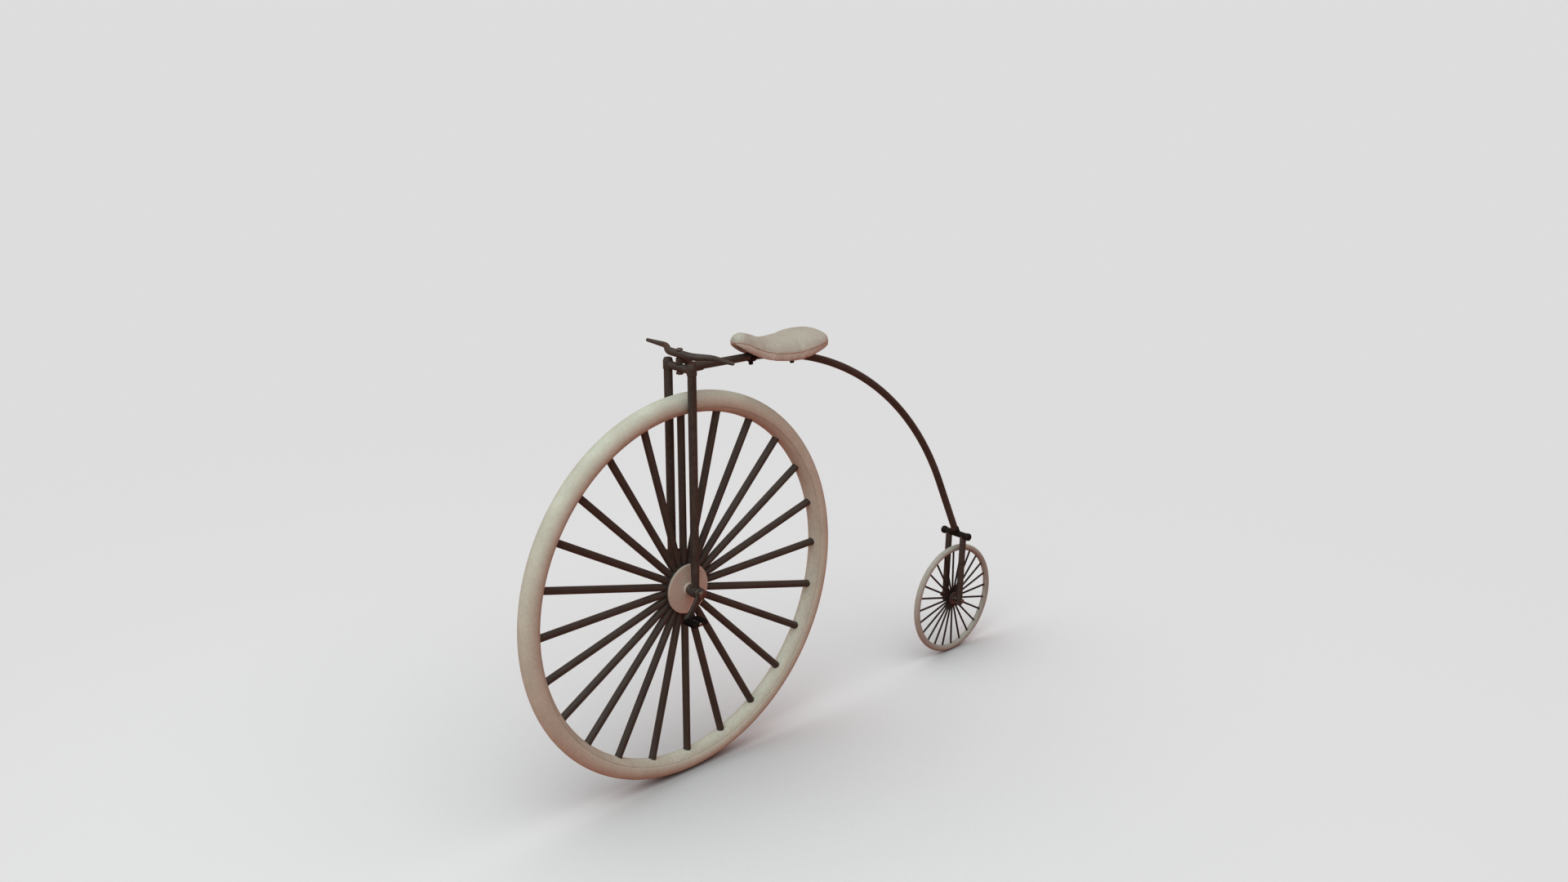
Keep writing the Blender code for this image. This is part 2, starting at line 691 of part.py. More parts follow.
def spindle(parent):
    """The pin down through handlebar, head and crown, with a nut below the crown."""
    nut_top = CROWN_HEIGHT - CROWN_RADIUS - SEAT_GAP
    foot = nut_top - SPINDLE_NUT_HEIGHT - AXLE_END
    head = BAR_HEIGHT + BAR_RADIUS + SEAT_GAP
    head_radius = SPINDLE_RADIUS + SPINDLE_HEAD_LIP
    profile = (
        # height, radius
        (foot, 0.0),
        (foot, SPINDLE_RADIUS),
        (head, SPINDLE_RADIUS),
        (head, head_radius),
        (head + 0.45 * SPINDLE_HEAD_HEIGHT, head_radius),
        (head + 0.85 * SPINDLE_HEAD_HEIGHT, 0.70 * head_radius),
        (head + SPINDLE_HEAD_HEIGHT, 0.0),
    )
    bm = turned(profile, PIN_STEPS)
    bmesh.ops.rotate(bm, verts=bm.verts, matrix=Matrix.Rotation(math.pi / 2, 3, "X"))
    solid("steering_spindle", bm, STEEL, parent)
    nut(
        "spindle_nut",
        SPINDLE_RADIUS + SPINDLE_NUT_LIP,
        SPINDLE_NUT_HEIGHT,
        SPINDLE_RADIUS,
        PIN_STEPS,
        UPRIGHT * (nut_top - SPINDLE_NUT_HEIGHT / 2),
        UPRIGHT,
        parent,
    )


def handlebar(parent):
    """Straight across the head, then swept back and tapered to slim tips."""
    reach = BAR_STRAIGHT + BAR_BEND + BAR_END
    path = []
    radii = []
    for y in between(-reach, reach, BAR_STEPS):
        beyond = max(0.0, abs(y) - BAR_STRAIGHT)
        back = -BAR_SWEEP * eased(min(1.0, beyond / BAR_BEND))
        path.append(Vector((back, y, BAR_HEIGHT)))
        taper = beyond / (BAR_BEND + BAR_END)
        radii.append(BAR_RADIUS + (BAR_TIP_RADIUS - BAR_RADIUS) * taper)
    bar = solid("handlebar", tube(path, radii, TUBE_STEPS, UPRIGHT), PAINT, parent)
    through = 2 * (BAR_RADIUS + DRAFT)
    hole = rod(SPINDLE_RADIUS + SEAT_GAP, through, PIN_STEPS, UPRIGHT * BAR_HEIGHT, UPRIGHT)
    cut(bar, "handlebar_bore", hole)


# Backbone and head


def falling(degrees):
    """The direction that runs backwards and falls below level by an angle."""
    angle = math.radians(degrees)
    return Vector((-math.cos(angle), 0, -math.sin(angle)))


BACKBONE_START = Vector((-BACKBONE_SETBACK, 0, CROWN_HEIGHT - BACKBONE_DROP))
BACKBONE_END = CROSSBAR - falling(BACKBONE_TAIL_FALL) * (TAIL_SHORT * CROSSBAR_RADIUS)


def backbone_shape():
    """The front straight's length, the arc's radius and the tail's length.

    The two straights, drawn on until they meet, are rounded off by the largest arc that
    leaves each of them its least length.
    """
    first = falling(BACKBONE_FALL)
    last = falling(BACKBONE_TAIL_FALL)
    span = BACKBONE_END - BACKBONE_START
    turn = first.x * last.z - first.z * last.x
    front = (span.x * last.z - span.z * last.x) / turn
    rear = (first.x * span.z - first.z * span.x) / turn
    rounded = min(front - BACKBONE_RUN, rear - BACKBONE_TAIL)
    half_bend = math.radians(BACKBONE_TAIL_FALL - BACKBONE_FALL) / 2
    return front - rounded, rounded / math.tan(half_bend), rear - rounded


def backbone_point(distance):
    """The point and the direction at a distance along the backbone, from its front end."""
    run, radius, _ = backbone_shape()
    first = falling(BACKBONE_FALL)
    if distance <= run:
        return BACKBONE_START + first * distance, first
    bend = math.radians(BACKBONE_TAIL_FALL - BACKBONE_FALL)
    turn = min((distance - run) / radius, bend)
    along = falling(BACKBONE_FALL + math.degrees(turn))
    start_up = Vector((first.z, 0, -first.x))
    up = Vector((along.z, 0, -along.x))
    centre = BACKBONE_START + first * run - start_up * radius
    beyond = max(0.0, distance - run - radius * bend)
    return centre + up * radius + along * beyond, along


def backbone_length():
    run, radius, tail = backbone_shape()
    return run + radius * math.radians(BACKBONE_TAIL_FALL - BACKBONE_FALL) + tail


def backbone_at(x):
    """The point and the direction where the backbone passes an X."""
    low = 0.0
    high = backbone_length()
    for _ in range(40):
        middle = (low + high) / 2
        if backbone_point(middle)[0].x > x:
            low = middle
        else:
            high = middle
    return backbone_point(low)


def backbone(parent):
    run, _, tail = backbone_shape()
    length = backbone_length()
    distances = [0.0] + between(run, length - tail, BACKBONE_STEPS) + [length]
    path = [backbone_point(distance)[0] for distance in distances]
    solid("backbone", tube(path, [BACKBONE_RADIUS] * len(path), TUBE_STEPS), PAINT, parent)


def head_lug(parent):
    """The eye round the spindle, with a neck that dips to a socket on the backbone's end."""
    middle = (EYE_LOW + EYE_HIGH) / 2
    bore = SPINDLE_RADIUS + RUNNING_GAP
    eye_radius = bore + EYE_WALL
    eye = rod(eye_radius, EYE_LENGTH, ROUND_STEPS, UPRIGHT * middle, UPRIGHT)
    lug = solid("head_lug", eye, PAINT, parent)

    start, along = backbone_point(0.0)
    wall = start - along * (SEAT_GAP + SOCKET_WALL)
    front = Vector((-0.5 * eye_radius, 0, middle))
    path = []
    radii = []
    for share in between(0.0, 1.0, NECK_STEPS):
        point = front.lerp(wall, share)
        point.z = front.z + (wall.z - front.z) * eased(share)
        path.append(point)
        radii.append(NECK_RADIUS + (SOCKET_RADIUS - NECK_RADIUS) * eased(share))
    path.append(start + along * SOCKET_LENGTH)
    radii.append(SOCKET_RADIUS)
    join(lug, "head_neck", tube(path, radii, TUBE_STEPS))

    recess = SEAT_GAP + SOCKET_LENGTH + DRAFT
    centre = start + along * (recess / 2 - SEAT_GAP)
    socket = rod(BACKBONE_RADIUS + SEAT_GAP, recess, TUBE_STEPS, centre, along)
    cut(lug, "head_socket", socket)
    hole = rod(bore, EYE_LENGTH + 2 * DRAFT, PIN_STEPS, UPRIGHT * middle, UPRIGHT)
    cut(lug, "head_eye_bore", hole)


# Rear fork


def rear_fork(parent):
    """The crossbar at the backbone's tail, and the two legs that hold the rear axle."""
    crossbar(parent)
    for side, sign in SIDES:
        rear_leg(side, sign, parent)
    rear_axle(parent)


def crossbar(parent):
    """A round bar with a socket for the backbone's tail and a domed cap at each end."""
    bar = rod(CROSSBAR_RADIUS, 2 * CROSSBAR_REACH, TUBE_STEPS, CROSSBAR)
    made = solid("rear_crossbar", bar, BLACK, parent)
    tail, along = backbone_point(backbone_length())
    centre = tail - along * (TAIL_OVERLAP * SOCKET_LENGTH)
    join(made, "crossbar_socket", rod(SOCKET_RADIUS, SOCKET_LENGTH, TUBE_STEPS, centre, along))
    recess = SOCKET_LENGTH + DRAFT
    centre = tail + along * (SEAT_GAP - recess / 2)
    hole = rod(BACKBONE_RADIUS + SEAT_GAP, recess, TUBE_STEPS, centre, along)
    cut(made, "crossbar_socket_bore", hole)
    stations = (
        # shares of the cap's length and radius
        (0.00, 0.00),
        (0.00, 0.90),
        (0.15, 1.00),
        (0.60, 1.00),
        (0.88, 0.72),
        (1.00, 0.00),
    )
    for side, sign in SIDES:
        profile = [
            (sign * along_share * CROSSBAR_CAP_LENGTH, radius_share * CROSSBAR_CAP_RADIUS)
            for along_share, radius_share in stations
        ]
        place = CROSSBAR + ALONG_Y * sign * (CROSSBAR_REACH + SEAT_GAP)
        solid(f"crossbar_cap_{side}", turned(profile, TUBE_STEPS), BLACK, parent, place)


def rear_leg(side, sign, parent):
    """A leg that is notched round the crossbar and rounded off below the axle."""
    spread = ALONG_Y * sign * REAR_LEG_SPREAD
    top = CROSSBAR + spread - UPRIGHT * (0.5 * CROSSBAR_RADIUS)
    axle = Vector((-WHEELBASE, 0, REAR_RADIUS)) + spread
    down = (axle - top).normalized()
    foot = axle + down * REAR_LEG_BELOW_AXLE
    stations = (
        # point, share of the leg's radius
        (top, 1.00),
        (foot - down * (0.70 * REAR_LEG_RADIUS), 1.00),
        (foot - down * (0.25 * REAR_LEG_RADIUS), 0.80),
        (foot, 0.40),
    )
    path = [point for point, _ in stations]
    radii = [share * REAR_LEG_RADIUS for _, share in stations]
    leg = solid(f"rear_leg_{side}", tube(path, radii, TUBE_STEPS), PAINT, parent)
    through = 2 * (REAR_LEG_RADIUS + DRAFT)
    seat = rod(CROSSBAR_RADIUS + SEAT_GAP, through, TUBE_STEPS, CROSSBAR + spread)
    cut(leg, f"rear_leg_seat_{side}", seat)
    bore = rod(REAR_AXLE_RADIUS + SEAT_GAP, through, TUBE_STEPS, axle)
    cut(leg, f"rear_leg_bore_{side}", bore)


def rear_axle(parent):
    """The fixed axle that the rear wheel turns on, with its collars and nuts."""
    place = Vector((-WHEELBASE, 0, REAR_RADIUS))
    collar = REAR_AXLE_RADIUS + REAR_COLLAR_WALL
    leg_inside = REAR_LEG_SPREAD - REAR_LEG_RADIUS
    nut_inside = REAR_LEG_SPREAD + REAR_LEG_RADIUS + SEAT_GAP
    end = nut_inside + REAR_NUT_THICKNESS + AXLE_END
    half = [
        # along the axle, radius
        (hub_half_width(REAR) + RUNNING_GAP, REAR_AXLE_RADIUS),
        (hub_half_width(REAR) + RUNNING_GAP, collar),
        (leg_inside - SEAT_GAP, collar),
        (leg_inside - SEAT_GAP, REAR_AXLE_RADIUS),
        (end, REAR_AXLE_RADIUS),
        (end, 0.0),
    ]
    profile = [(-along, radius) for along, radius in reversed(half)] + half
    solid("rear_axle", turned(profile, TUBE_STEPS), STEEL, parent, place)
    for side, sign in SIDES:
        nut(
            f"rear_axle_nut_{side}",
            REAR_AXLE_RADIUS + REAR_NUT_WALL,
            REAR_NUT_THICKNESS,
            REAR_AXLE_RADIUS,
            TUBE_STEPS,
            place + ALONG_Y * sign * (nut_inside + REAR_NUT_THICKNESS / 2),
            ALONG_Y,
            parent,
        )


# Saddle


def pad_section(station):
    """The pad's outer and inner (Y, Z) points at a station: two arches open below."""
    _, half_width, top, edge, solid_share = station
    top += BACKBONE_START.z
    edge += BACKBONE_START.z
    inside = half_width - min(SADDLE_WALL, THIN_SHARE * half_width)
    inside_top = top - solid_share * (top - edge)
    outer = []
    inner = []
    for step in range(ARCH_STEPS + 1):
        angle = math.pi * step / ARCH_STEPS
        lift = abs(math.sin(angle)) ** ARCH_FULLNESS
        outer.append((half_width * math.cos(angle), edge + (top - edge) * lift))
        inner.append((inside * math.cos(angle), edge + (inside_top - edge) * lift))
    return outer, inner


def pad_top(x):
    """The height of the pad's middle line at an X."""
    for first, second in zip(SADDLE_STATIONS, SADDLE_STATIONS[1:]):
        if x >= second[0]:
            share = (first[0] - x) / (first[0] - second[0])
            return BACKBONE_START.z + first[2] + (second[2] - first[2]) * share
    return BACKBONE_START.z + SADDLE_STATIONS[-1][2]


def loft(sections):
    """A closed body through sections of (Y, Z) points, each at its X."""
    bm = bmesh.new()
    skin(bm, [[bm.verts.new((x, y, z)) for y, z in points] for x, points in sections])
    bmesh.ops.triangulate(bm, faces=bm.faces, quad_method="SHORT_EDGE")
    return bm


def pan_shape(low, high):
    """A sheet under the middle of the pad, between two heights counted from its inner side."""
    sections = []
    for station in SADDLE_STATIONS:
        if PAN_REAR <= station[0] <= PAN_FRONT:
            inner = pad_section(station)[1][PAN_INSET:-PAN_INSET]
            points = [(y, z + high) for y, z in inner] + [(y, z + low) for y, z in inner[::-1]]
            sections.append((station[0], points))
    return loft(sections)


def saddle(parent):
    """A long pad with a raised nose and hanging sides, on a pan held by two clips."""
    sections = []
    for station in SADDLE_STATIONS:
        outer, inner = pad_section(station)
        sections.append((station[0], outer + inner[::-1]))
    solid("saddle_pad", loft(sections), LEATHER, parent)
    pan = pan_shape(-SEAT_GAP - PAN_THICKNESS, -SEAT_GAP)
    solid("saddle_pan", pan, BLACK, parent)
    for which, x in (("front", CLIP_FRONT), ("rear", CLIP_REAR)):
        clip(which, x, parent)


def clip(which, x, parent):
    """A ring clamped round the backbone, with a post up to the saddle's pan."""
    centre, along = backbone_at(x)
    bore = BACKBONE_RADIUS + CLIP_GAP
    clamp = rod(bore + CLIP_WALL, CLIP_LENGTH, TUBE_STEPS, centre, along)
    made = solid(f"saddle_clip_{which}", clamp, BLACK, parent)
    height = pad_top(x) - centre.z
    middle = Vector((x, 0, centre.z + height / 2))
    join(made, f"clip_post_{which}", rod(CLIP_POST_RADIUS, height, PIN_STEPS, middle, UPRIGHT))
    above_pan = pan_shape(-2 * SEAT_GAP - PAN_THICKNESS, height)
    cut(made, f"clip_top_{which}", above_pan)
    hole = rod(bore, CLIP_LENGTH + 2 * DRAFT, TUBE_STEPS, centre, along)
    cut(made, f"clip_bore_{which}", hole)


def main():
    machine = pivot("machine", None, (-RIDER_X, 0, -pad_top(RIDER_X)))
    backbone(machine)
    head_lug(machine)
    saddle(machine)
    rear_fork(machine)

    steering = pivot("steering_pivot", machine, (0, 0, 0))
    fork(steering)

    front = pivot("front_wheel_pivot", steering, (0, 0, FRONT_RADIUS))
    wheel("front", FRONT, front)
    front_axle(front)
    for side, sign in SIDES:
        place = crank_direction(sign) * CRANK_LENGTH
        pedal(side, sign, pivot(f"pedal_{side}_pivot", front, place))

    rear = pivot("rear_wheel_pivot", machine, (-WHEELBASE, 0, REAR_RADIUS))
    wheel("rear", REAR, rear)


for old in list(bpy.data.objects):
    bpy.data.objects.remove(old)
main()
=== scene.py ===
"""The looks of a penny-farthing: fine pieces over its frame, their finishes, light and camera.

Lengths are in metres. X is forward, Y is to the rider's left, Z is up, and the origin is
where the rider sits.
"""

import json
import math
from collections import namedtuple

import bmesh
import bpy
from mathutils import Matrix, Vector
from mathutils.bvhtree import BVHTree


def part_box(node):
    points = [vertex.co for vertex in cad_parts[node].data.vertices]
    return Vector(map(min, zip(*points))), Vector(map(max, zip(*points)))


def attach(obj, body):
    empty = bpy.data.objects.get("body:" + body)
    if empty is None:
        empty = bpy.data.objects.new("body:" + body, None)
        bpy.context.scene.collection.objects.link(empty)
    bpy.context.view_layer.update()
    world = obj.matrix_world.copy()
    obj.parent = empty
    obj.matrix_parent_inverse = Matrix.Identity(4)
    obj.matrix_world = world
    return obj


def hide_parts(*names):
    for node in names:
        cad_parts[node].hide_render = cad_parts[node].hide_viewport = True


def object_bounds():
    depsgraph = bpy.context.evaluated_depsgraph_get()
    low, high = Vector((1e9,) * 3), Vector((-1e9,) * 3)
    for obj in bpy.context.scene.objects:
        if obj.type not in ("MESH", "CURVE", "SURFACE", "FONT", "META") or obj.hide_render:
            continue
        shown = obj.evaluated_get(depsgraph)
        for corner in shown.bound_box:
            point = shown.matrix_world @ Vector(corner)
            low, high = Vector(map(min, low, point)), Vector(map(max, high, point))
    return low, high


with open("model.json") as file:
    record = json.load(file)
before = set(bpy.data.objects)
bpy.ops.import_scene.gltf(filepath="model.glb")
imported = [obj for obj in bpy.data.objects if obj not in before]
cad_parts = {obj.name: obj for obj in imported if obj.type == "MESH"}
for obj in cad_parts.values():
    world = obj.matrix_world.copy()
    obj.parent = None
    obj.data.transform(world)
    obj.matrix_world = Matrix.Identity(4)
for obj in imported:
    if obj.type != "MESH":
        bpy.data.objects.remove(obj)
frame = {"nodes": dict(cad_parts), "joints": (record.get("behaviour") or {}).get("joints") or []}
CAD_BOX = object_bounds()


def middle(node):
    low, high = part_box(node)
    return (low + high) / 2


def size(node):
    low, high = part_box(node)
    return high - low


# Places that the frame gives
JOINTS = {joint["name"]: Vector(joint["pos_m"]) for joint in frame["joints"]}
STEERING = JOINTS["steering"]
FRONT_HUB = JOINTS["front_wheel_spin"]
REAR_HUB = JOINTS["rear_wheel_spin"]
CROWN = middle("fork_crown")
CROSSBAR = middle("crossbar_cap_left") * Vector((1, 0, 1))
GROUND = CAD_BOX[0].z
SIDES = (("left", 1), ("right", -1))
ALONG_Y = Vector((0, 1, 0))
UPRIGHT = Vector((0, 0, 1))
SEAT_GAP = 0.0003  # between two pieces that touch
RUNNING_GAP = 0.0004  # between a pin and the bore that turns on it

# Wheels
Wheel = namedtuple(
    "Wheel",
    "name body hub radius section rim_depth spoke_radius nave_radius nave_half_width"
    " plate_radius plate_thickness boss_radius boss_height axle_radius steps spoke_sides",
)
FRONT = Wheel(
    name="front",
    body="front_wheel",
    hub=FRONT_HUB,
    radius=size("front_tyre").z / 2,
    section=0.035,
    rim_depth=0.020,
    spoke_radius=0.0125,
    nave_radius=0.082,
    nave_half_width=0.0150,
    plate_radius=size("front_hub_plate_left").z / 2,
    plate_thickness=0.0085,
    boss_radius=0.0208,
    boss_height=0.006,
    axle_radius=0.012,
    steps=180,
    spoke_sides=24,
)
REAR = Wheel(
    name="rear",
    body="rear_wheel",
    hub=REAR_HUB,
    radius=size("rear_tyre").z / 2,
    section=0.01175,
    rim_depth=0.007,
    spoke_radius=0.00375,
    nave_radius=0.024,
    nave_half_width=0.0060,
    plate_radius=size("rear_hub_plate_left").z / 2,
    plate_thickness=0.0030,
    boss_radius=0.0094,
    boss_height=0.003,
    axle_radius=0.005,
    steps=128,
    spoke_sides=20,
)
SECTION_SIDES = 56
SEAT_ROUNDING = 0.055  # at the seam of tyre and rim, as a share of the section
RIM_NARROWING = 0.985  # the rim's width as a share of the tyre's
SPOKES = 24
SPOKE_TAPER = 0.72  # a spoke's thickness at the nave, as a share of the rest
SPOKE_COLLAR = 1.05  # the same at the rim
SPOKE_SINK = 0.4  # into the nave; this and the next three are shares of a spoke's radius
TAPER_LENGTH = 2.4
COLLAR_LENGTH = 0.35
COLLAR_STEP = 0.02
SOCKET_DEPTH = 0.42  # how far a spoke enters the rim, as a share of the rim's depth
BOSS_FLARE = 1.12
NAVE_ROUNDING = 0.08  # as a share of its half width
PLATE_ROUNDING = 0.18  # at a plate's rim, as a share of its thickness
FACE_ROUNDING = 0.12  # the softening of all its corners, as the same share
PLATE_RIVETS = 8
RIVET_CIRCLE = 0.86  # shares of a plate's radius
RIVET_SIZE = 0.035

# Fork, handlebar and head
LEG_RADIUS = size("fork_leg_left").y / 2
LEG_SPREAD = middle("fork_leg_left").y
LEG_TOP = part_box("fork_leg_left")[1].z
LEG_START = 0.010  # heights above the axle's middle
LEG_ROOT = 0.060
LEG_START_SHARE = 0.86  # thickness at both ends, as a share of the rest
LEG_TOP_SHARE = 0.80
LEG_DOME = 0.25  # height of the rounded top, as a share of the radius
LEG_EYE_RADIUS = 0.020
LEG_EYE_HALF_WIDTH = 0.0125
CROWN_RADIUS = 0.013
CROWN_COLLAR_WALL = 0.00195
CROWN_SCREW_RADIUS = 0.0036
SPINDLE_RADIUS = 0.0065
SPINDLE_CHAMFER = 0.001
SPINDLE_HEAD_RADIUS = 0.0110
SPINDLE_HEAD_SIDE = 0.45  # how much of the head's height is upright
SPINDLE_HEAD_TOP = 0.70  # the domed part's radius near its top, as a share
SPINDLE_HEAD_DOME = 0.0009
SPINDLE_NUT_RADIUS = 0.0125
BAR_HEIGHT = middle("handlebar").z
BAR_RADIUS = size("handlebar").z / 2
BAR_TIP_RADIUS = 0.0055
BAR_TIP_FLAT = 0.12  # the least that rounding leaves of a tip's section
BAR_STRAIGHT = 0.040
BAR_BEND = 0.085
BAR_END = 0.085
BAR_SWEEP = 0.040
EYE_RADIUS = 0.0125
EYE_BORE = 0.0080
EYE_LOW = CROWN.z + CROWN_RADIUS + RUNNING_GAP
EYE_HIGH = BAR_HEIGHT - BAR_RADIUS - RUNNING_GAP
NECK_RADIUS = 0.0078
NECK_START = 0.76  # behind the eye's middle, as a share of its radius
SOCKET_WALL = 0.0033
SOCKET_LENGTH = 0.026
SOCKET_LIP = 0.0012
SOCKET_LIP_SHARE = 0.93
LUG_PIN_RADIUS = 0.0032

# Backbone and rear fork
BACKBONE_RADIUS = 0.013
BACKBONE_START = CROWN + Vector((-0.066, 0, -0.0085))
BACKBONE_FALL = 3.0  # degrees below level at the front and at the tail
BACKBONE_TAIL_FALL = 65.3
BACKBONE_RUN = 0.217  # the least that the bend leaves straight before and after it
BACKBONE_TAIL = 0.242
CROSSBAR_RADIUS = 0.012
CROSSBAR_REACH = 0.050
KNOB_BACK = 0.90  # radius of a knob's inner face, as a share of the knob's
KNOB_FLARE = 0.15  # where the flare ends and the dome starts, as shares of its length
KNOB_DOME = 0.55
TAIL_SHORT = 0.43  # of the crossbar's middle, as a share of the crossbar's radius
TAIL_SOCKET_HALF_LENGTH = 0.013
TAIL_SOCKET_RISE = 0.0078  # of its middle above the tail's end
TAIL_PIN_RISE = 0.0130
REAR_LEG_RADIUS = size("rear_leg_left").y / 2
REAR_LEG_SPREAD = middle("rear_leg_left").y
REAR_LEG_BELOW_AXLE = 0.020
REAR_LEG_DOME = 0.45  # of its foot, as a share of the radius
REAR_COLLAR_WALL = 0.0030
REAR_COLLAR_SINK = 0.001  # into the round side of the leg
REAR_NUT_RADIUS = 0.0100

# Front axle, cranks and pedals
AXLE_COLLAR_WALL = 0.0055
AXLE_CHAMFER = 0.0015
AXLE_NUT_RADIUS = 0.0175
CRANK_ANGLE = math.radians(38)  # of the left crank, forward of straight down
CRANK_LENGTH = (JOINTS["pedal_left_spin"] - FRONT_HUB).xz.length
CRANK_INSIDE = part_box("crank_left")[0].y
CRANK_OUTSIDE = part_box("crank_left")[1].y
CRANK_BLOCK = 0.002  # length of the block that the arm is drawn out of
CRANK_ROUNDING = 0.0020
CRANK_AXLE_EYE = 0.0183
CRANK_PIN_EYE = 0.0131
CRANK_STATIONS = (
    # share of the crank's length, half width
    (0.00, 0.0165),
    (0.18, 0.0122),
    (0.45, 0.0095),
    (0.80, 0.0100),
    (1.00, 0.0118),
)
PEDAL = size("pedal_frame_left")
PEDAL_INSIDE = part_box("pedal_frame_left")[0].y
PEDAL_PLATE = 0.003
PEDAL_PLATE_ROUNDING = 0.0008
PEDAL_PIN_RADIUS = 0.004
PEDAL_PIN_SINK = 0.001
PEDAL_PIN_END = 0.75  # the end's radius as a share of the collar's
PEDAL_COLLAR_RADIUS = 0.0068
PEDAL_BARREL_BORE = 0.0046
PEDAL_ROD_HEAD = 0.0026
PEDAL_GROOVES = 7
GROOVE_REACH = 0.42  # of the outer grooves from the middle, as a share of the length
GROOVE_HALF_TOP = 0.0011
GROOVE_HALF_FLOOR = 0.0005
GROOVE_WAIST = (0.91, 1, 0.87)
GROOVE_ROUNDING = 0.0003

# Saddle
PAD_SHRINK = 0.003
PAD_VOXEL = 0.0042
PAD_SWELL = 0.006
PAD_REGROWTH = 0.8  # how much of the shrinking is given back
PAD_UNDERSIDE = -0.25  # normals that point down more than this are on the underside
PAD_REAR_LIFT = (-0.002, 0.0, 0.005)  # squares up the cover's rear end
PAD_FRAMES = 20
PAD_PRESSURE = 4.0
SEAM_FRONT = 0.030  # how far the centres of the seam's two end turns lie from the pad's ends
SEAM_REAR = 0.060
SEAM_SIDE_RAYS = 90
SEAM_REAR_RAYS = 50
SEAM_FRONT_RAYS = 40
SEAM_SHARE = 0.42  # how high the seam between the two hides runs up the pad's side
SEAM_BLEND = 0.04  # over which share of the height one hide turns into the other
RAY_START = 0.3  # how far out the rays start that find the seam on the cover
WELT_RADIUS = 0.0013
STITCH_STEP = 0.0072
STITCH_RISE = 0.0046  # above the seam
STITCH_LENGTH = 0.0046
STITCH_RADIUS = 0.0005
STITCH_WIDTH = 1.15  # shares of a stitch's radius
STITCH_THICKNESS = 0.8
CLIP_HALF_LENGTH = 0.012
CLIP_WALL = 0.0047
CLIP_LUG = Vector((0.013, 0.010, 0.013))
CLIP_LUG_DROP = 0.0035
CLIP_BOLT_RADIUS = 0.0040
CLIP_BOLT_HEIGHT = 0.0026
CLIP_BOLT_REACH = 0.0062
CLIP_BOLT_DROP = 0.001  # below the lug's middle
POST_FOOT = 0.0092  # radii of the clip's post
POST_WAIST = 0.0070
POST_HEAD = 0.0088
POST_FOOT_LENGTH = 0.0200
POST_HEAD_LENGTH = 0.006

# The photograph's view, with the camera level from side to side
CAMERA_PLACE = Vector((3.9138, 4.0184, 1.4473))
CAMERA_AIM = Vector((-0.6634, -0.6819, -0.3083))
CAMERA_LENS = 40.0
SENSOR = 36.0

# Light
BACKDROP = (0.723, 0.723, 0.723, 1.0)
FLOOR_RADIUS = 30.0
FLOOR_FADE = (2.2, 5.0)  # from here to there the floor turns into the backdrop
FLOOR_TONE = (0.664, 0.741, 0.776, 1.0)
FLOOR_BOUNCE = (0.420, 0.150, 0.110, 1.0)
# The floor's painted shadow: its tone, how steeply it deepens and how far it reaches
SHADOW_TONE = (0.0, 0.0, 0.0, 1.0)
SHADOW_DEPTH = 0.75  # power that the openness of a place on the floor is raised to
SHADOW_REACH = 2.0
LIGHT_FROM = Vector((0.44, 0.12, 0.89))
LIGHT_SPREAD = (0.38, 1.0)  # cosines off that direction where the bright part ends and peaks
BRIGHT = (1.80, 1.93, 1.88, 1.0)
DIM = (0.47, 0.155, 0.122, 1.0)
KEY_PLACE = Vector((3.6, 1.2, 4.6))
KEY_AIM = Vector((-0.1, 0, -0.7))
KEY_COLOUR = (0.98, 1.0, 0.96)
KEY_POWER = 60.0
KEY_WIDTH = 4.0

# How round pieces and their edges are
BAR_SIDES = 48
EYE_SIDES = 64
PIN_SIDES = 40
KNOB_SIDES = 56
NAVE_SIDES = 72
PLATE_SIDES = 96
FORGED_EDGE = 0.0012
COLLAR_EDGE = 0.0010
SPINDLE_EDGE = 0.0008
TURNED_EDGE = 0.0006
PIN_EDGE = 0.0005
REAR_AXLE_EDGE = 0.0004
HEAD_SIDES = 20
HEAD_SINK = 0.4  # shares of a rivet head's radius
HEAD_RISE = 0.5
NUT_INSET = 0.10  # shares of a nut's radius
NUT_ROUNDING = 0.07

# How meshes are made and read
MERGE = 1e-5  # points closer than this are one
SEED = 0.001  # size of a plane that is merged to its first point
FINE_GRAIN = 0.0008  # voxels of the forged pieces
COARSE_GRAIN = 0.0009
SHARP = math.radians(35)  # edges that bend more are shaded as edges
EDGE_FROM = math.radians(16)  # bend at which the wear starts, and how much more makes it full
EDGE_OVER = math.radians(14)


# Modelling by operators


def begin(name):
    """Names the new primitive, which is the only thing selected, and opens it for editing."""
    made = bpy.context.object
    made.name = name
    made.data.name = name
    bpy.ops.object.mode_set(mode="EDIT")
    bpy.ops.mesh.select_mode(type="VERT")
    bpy.ops.mesh.select_all(action="SELECT")
    return made


def deselect():
    if bpy.context.object and bpy.context.object.mode == "EDIT":
        bpy.ops.object.mode_set(mode="OBJECT")
    bpy.ops.object.select_all(action="DESELECT")


def choose(made):
    """Makes a piece the selected and active one."""
    deselect()
    made.select_set(True)
    bpy.context.view_layer.objects.active = made


def pick(kind, test):
    """Selects the vertices, edges or faces of the open mesh that pass a test."""
    bpy.ops.mesh.select_all(action="DESELECT")
    bpy.ops.mesh.select_mode(type=kind)
    mesh = bmesh.from_edit_mesh(bpy.context.object.data)
    parts = {"VERT": mesh.verts, "EDGE": mesh.edges, "FACE": mesh.faces}[kind]
    for part in parts:
        part.select_set(test(part))
    mesh.select_flush_mode()
    bmesh.update_edit_mesh(bpy.context.object.data)


def extrude(step):
    bpy.ops.mesh.extrude_region_move(TRANSFORM_OT_translate={"value": step})


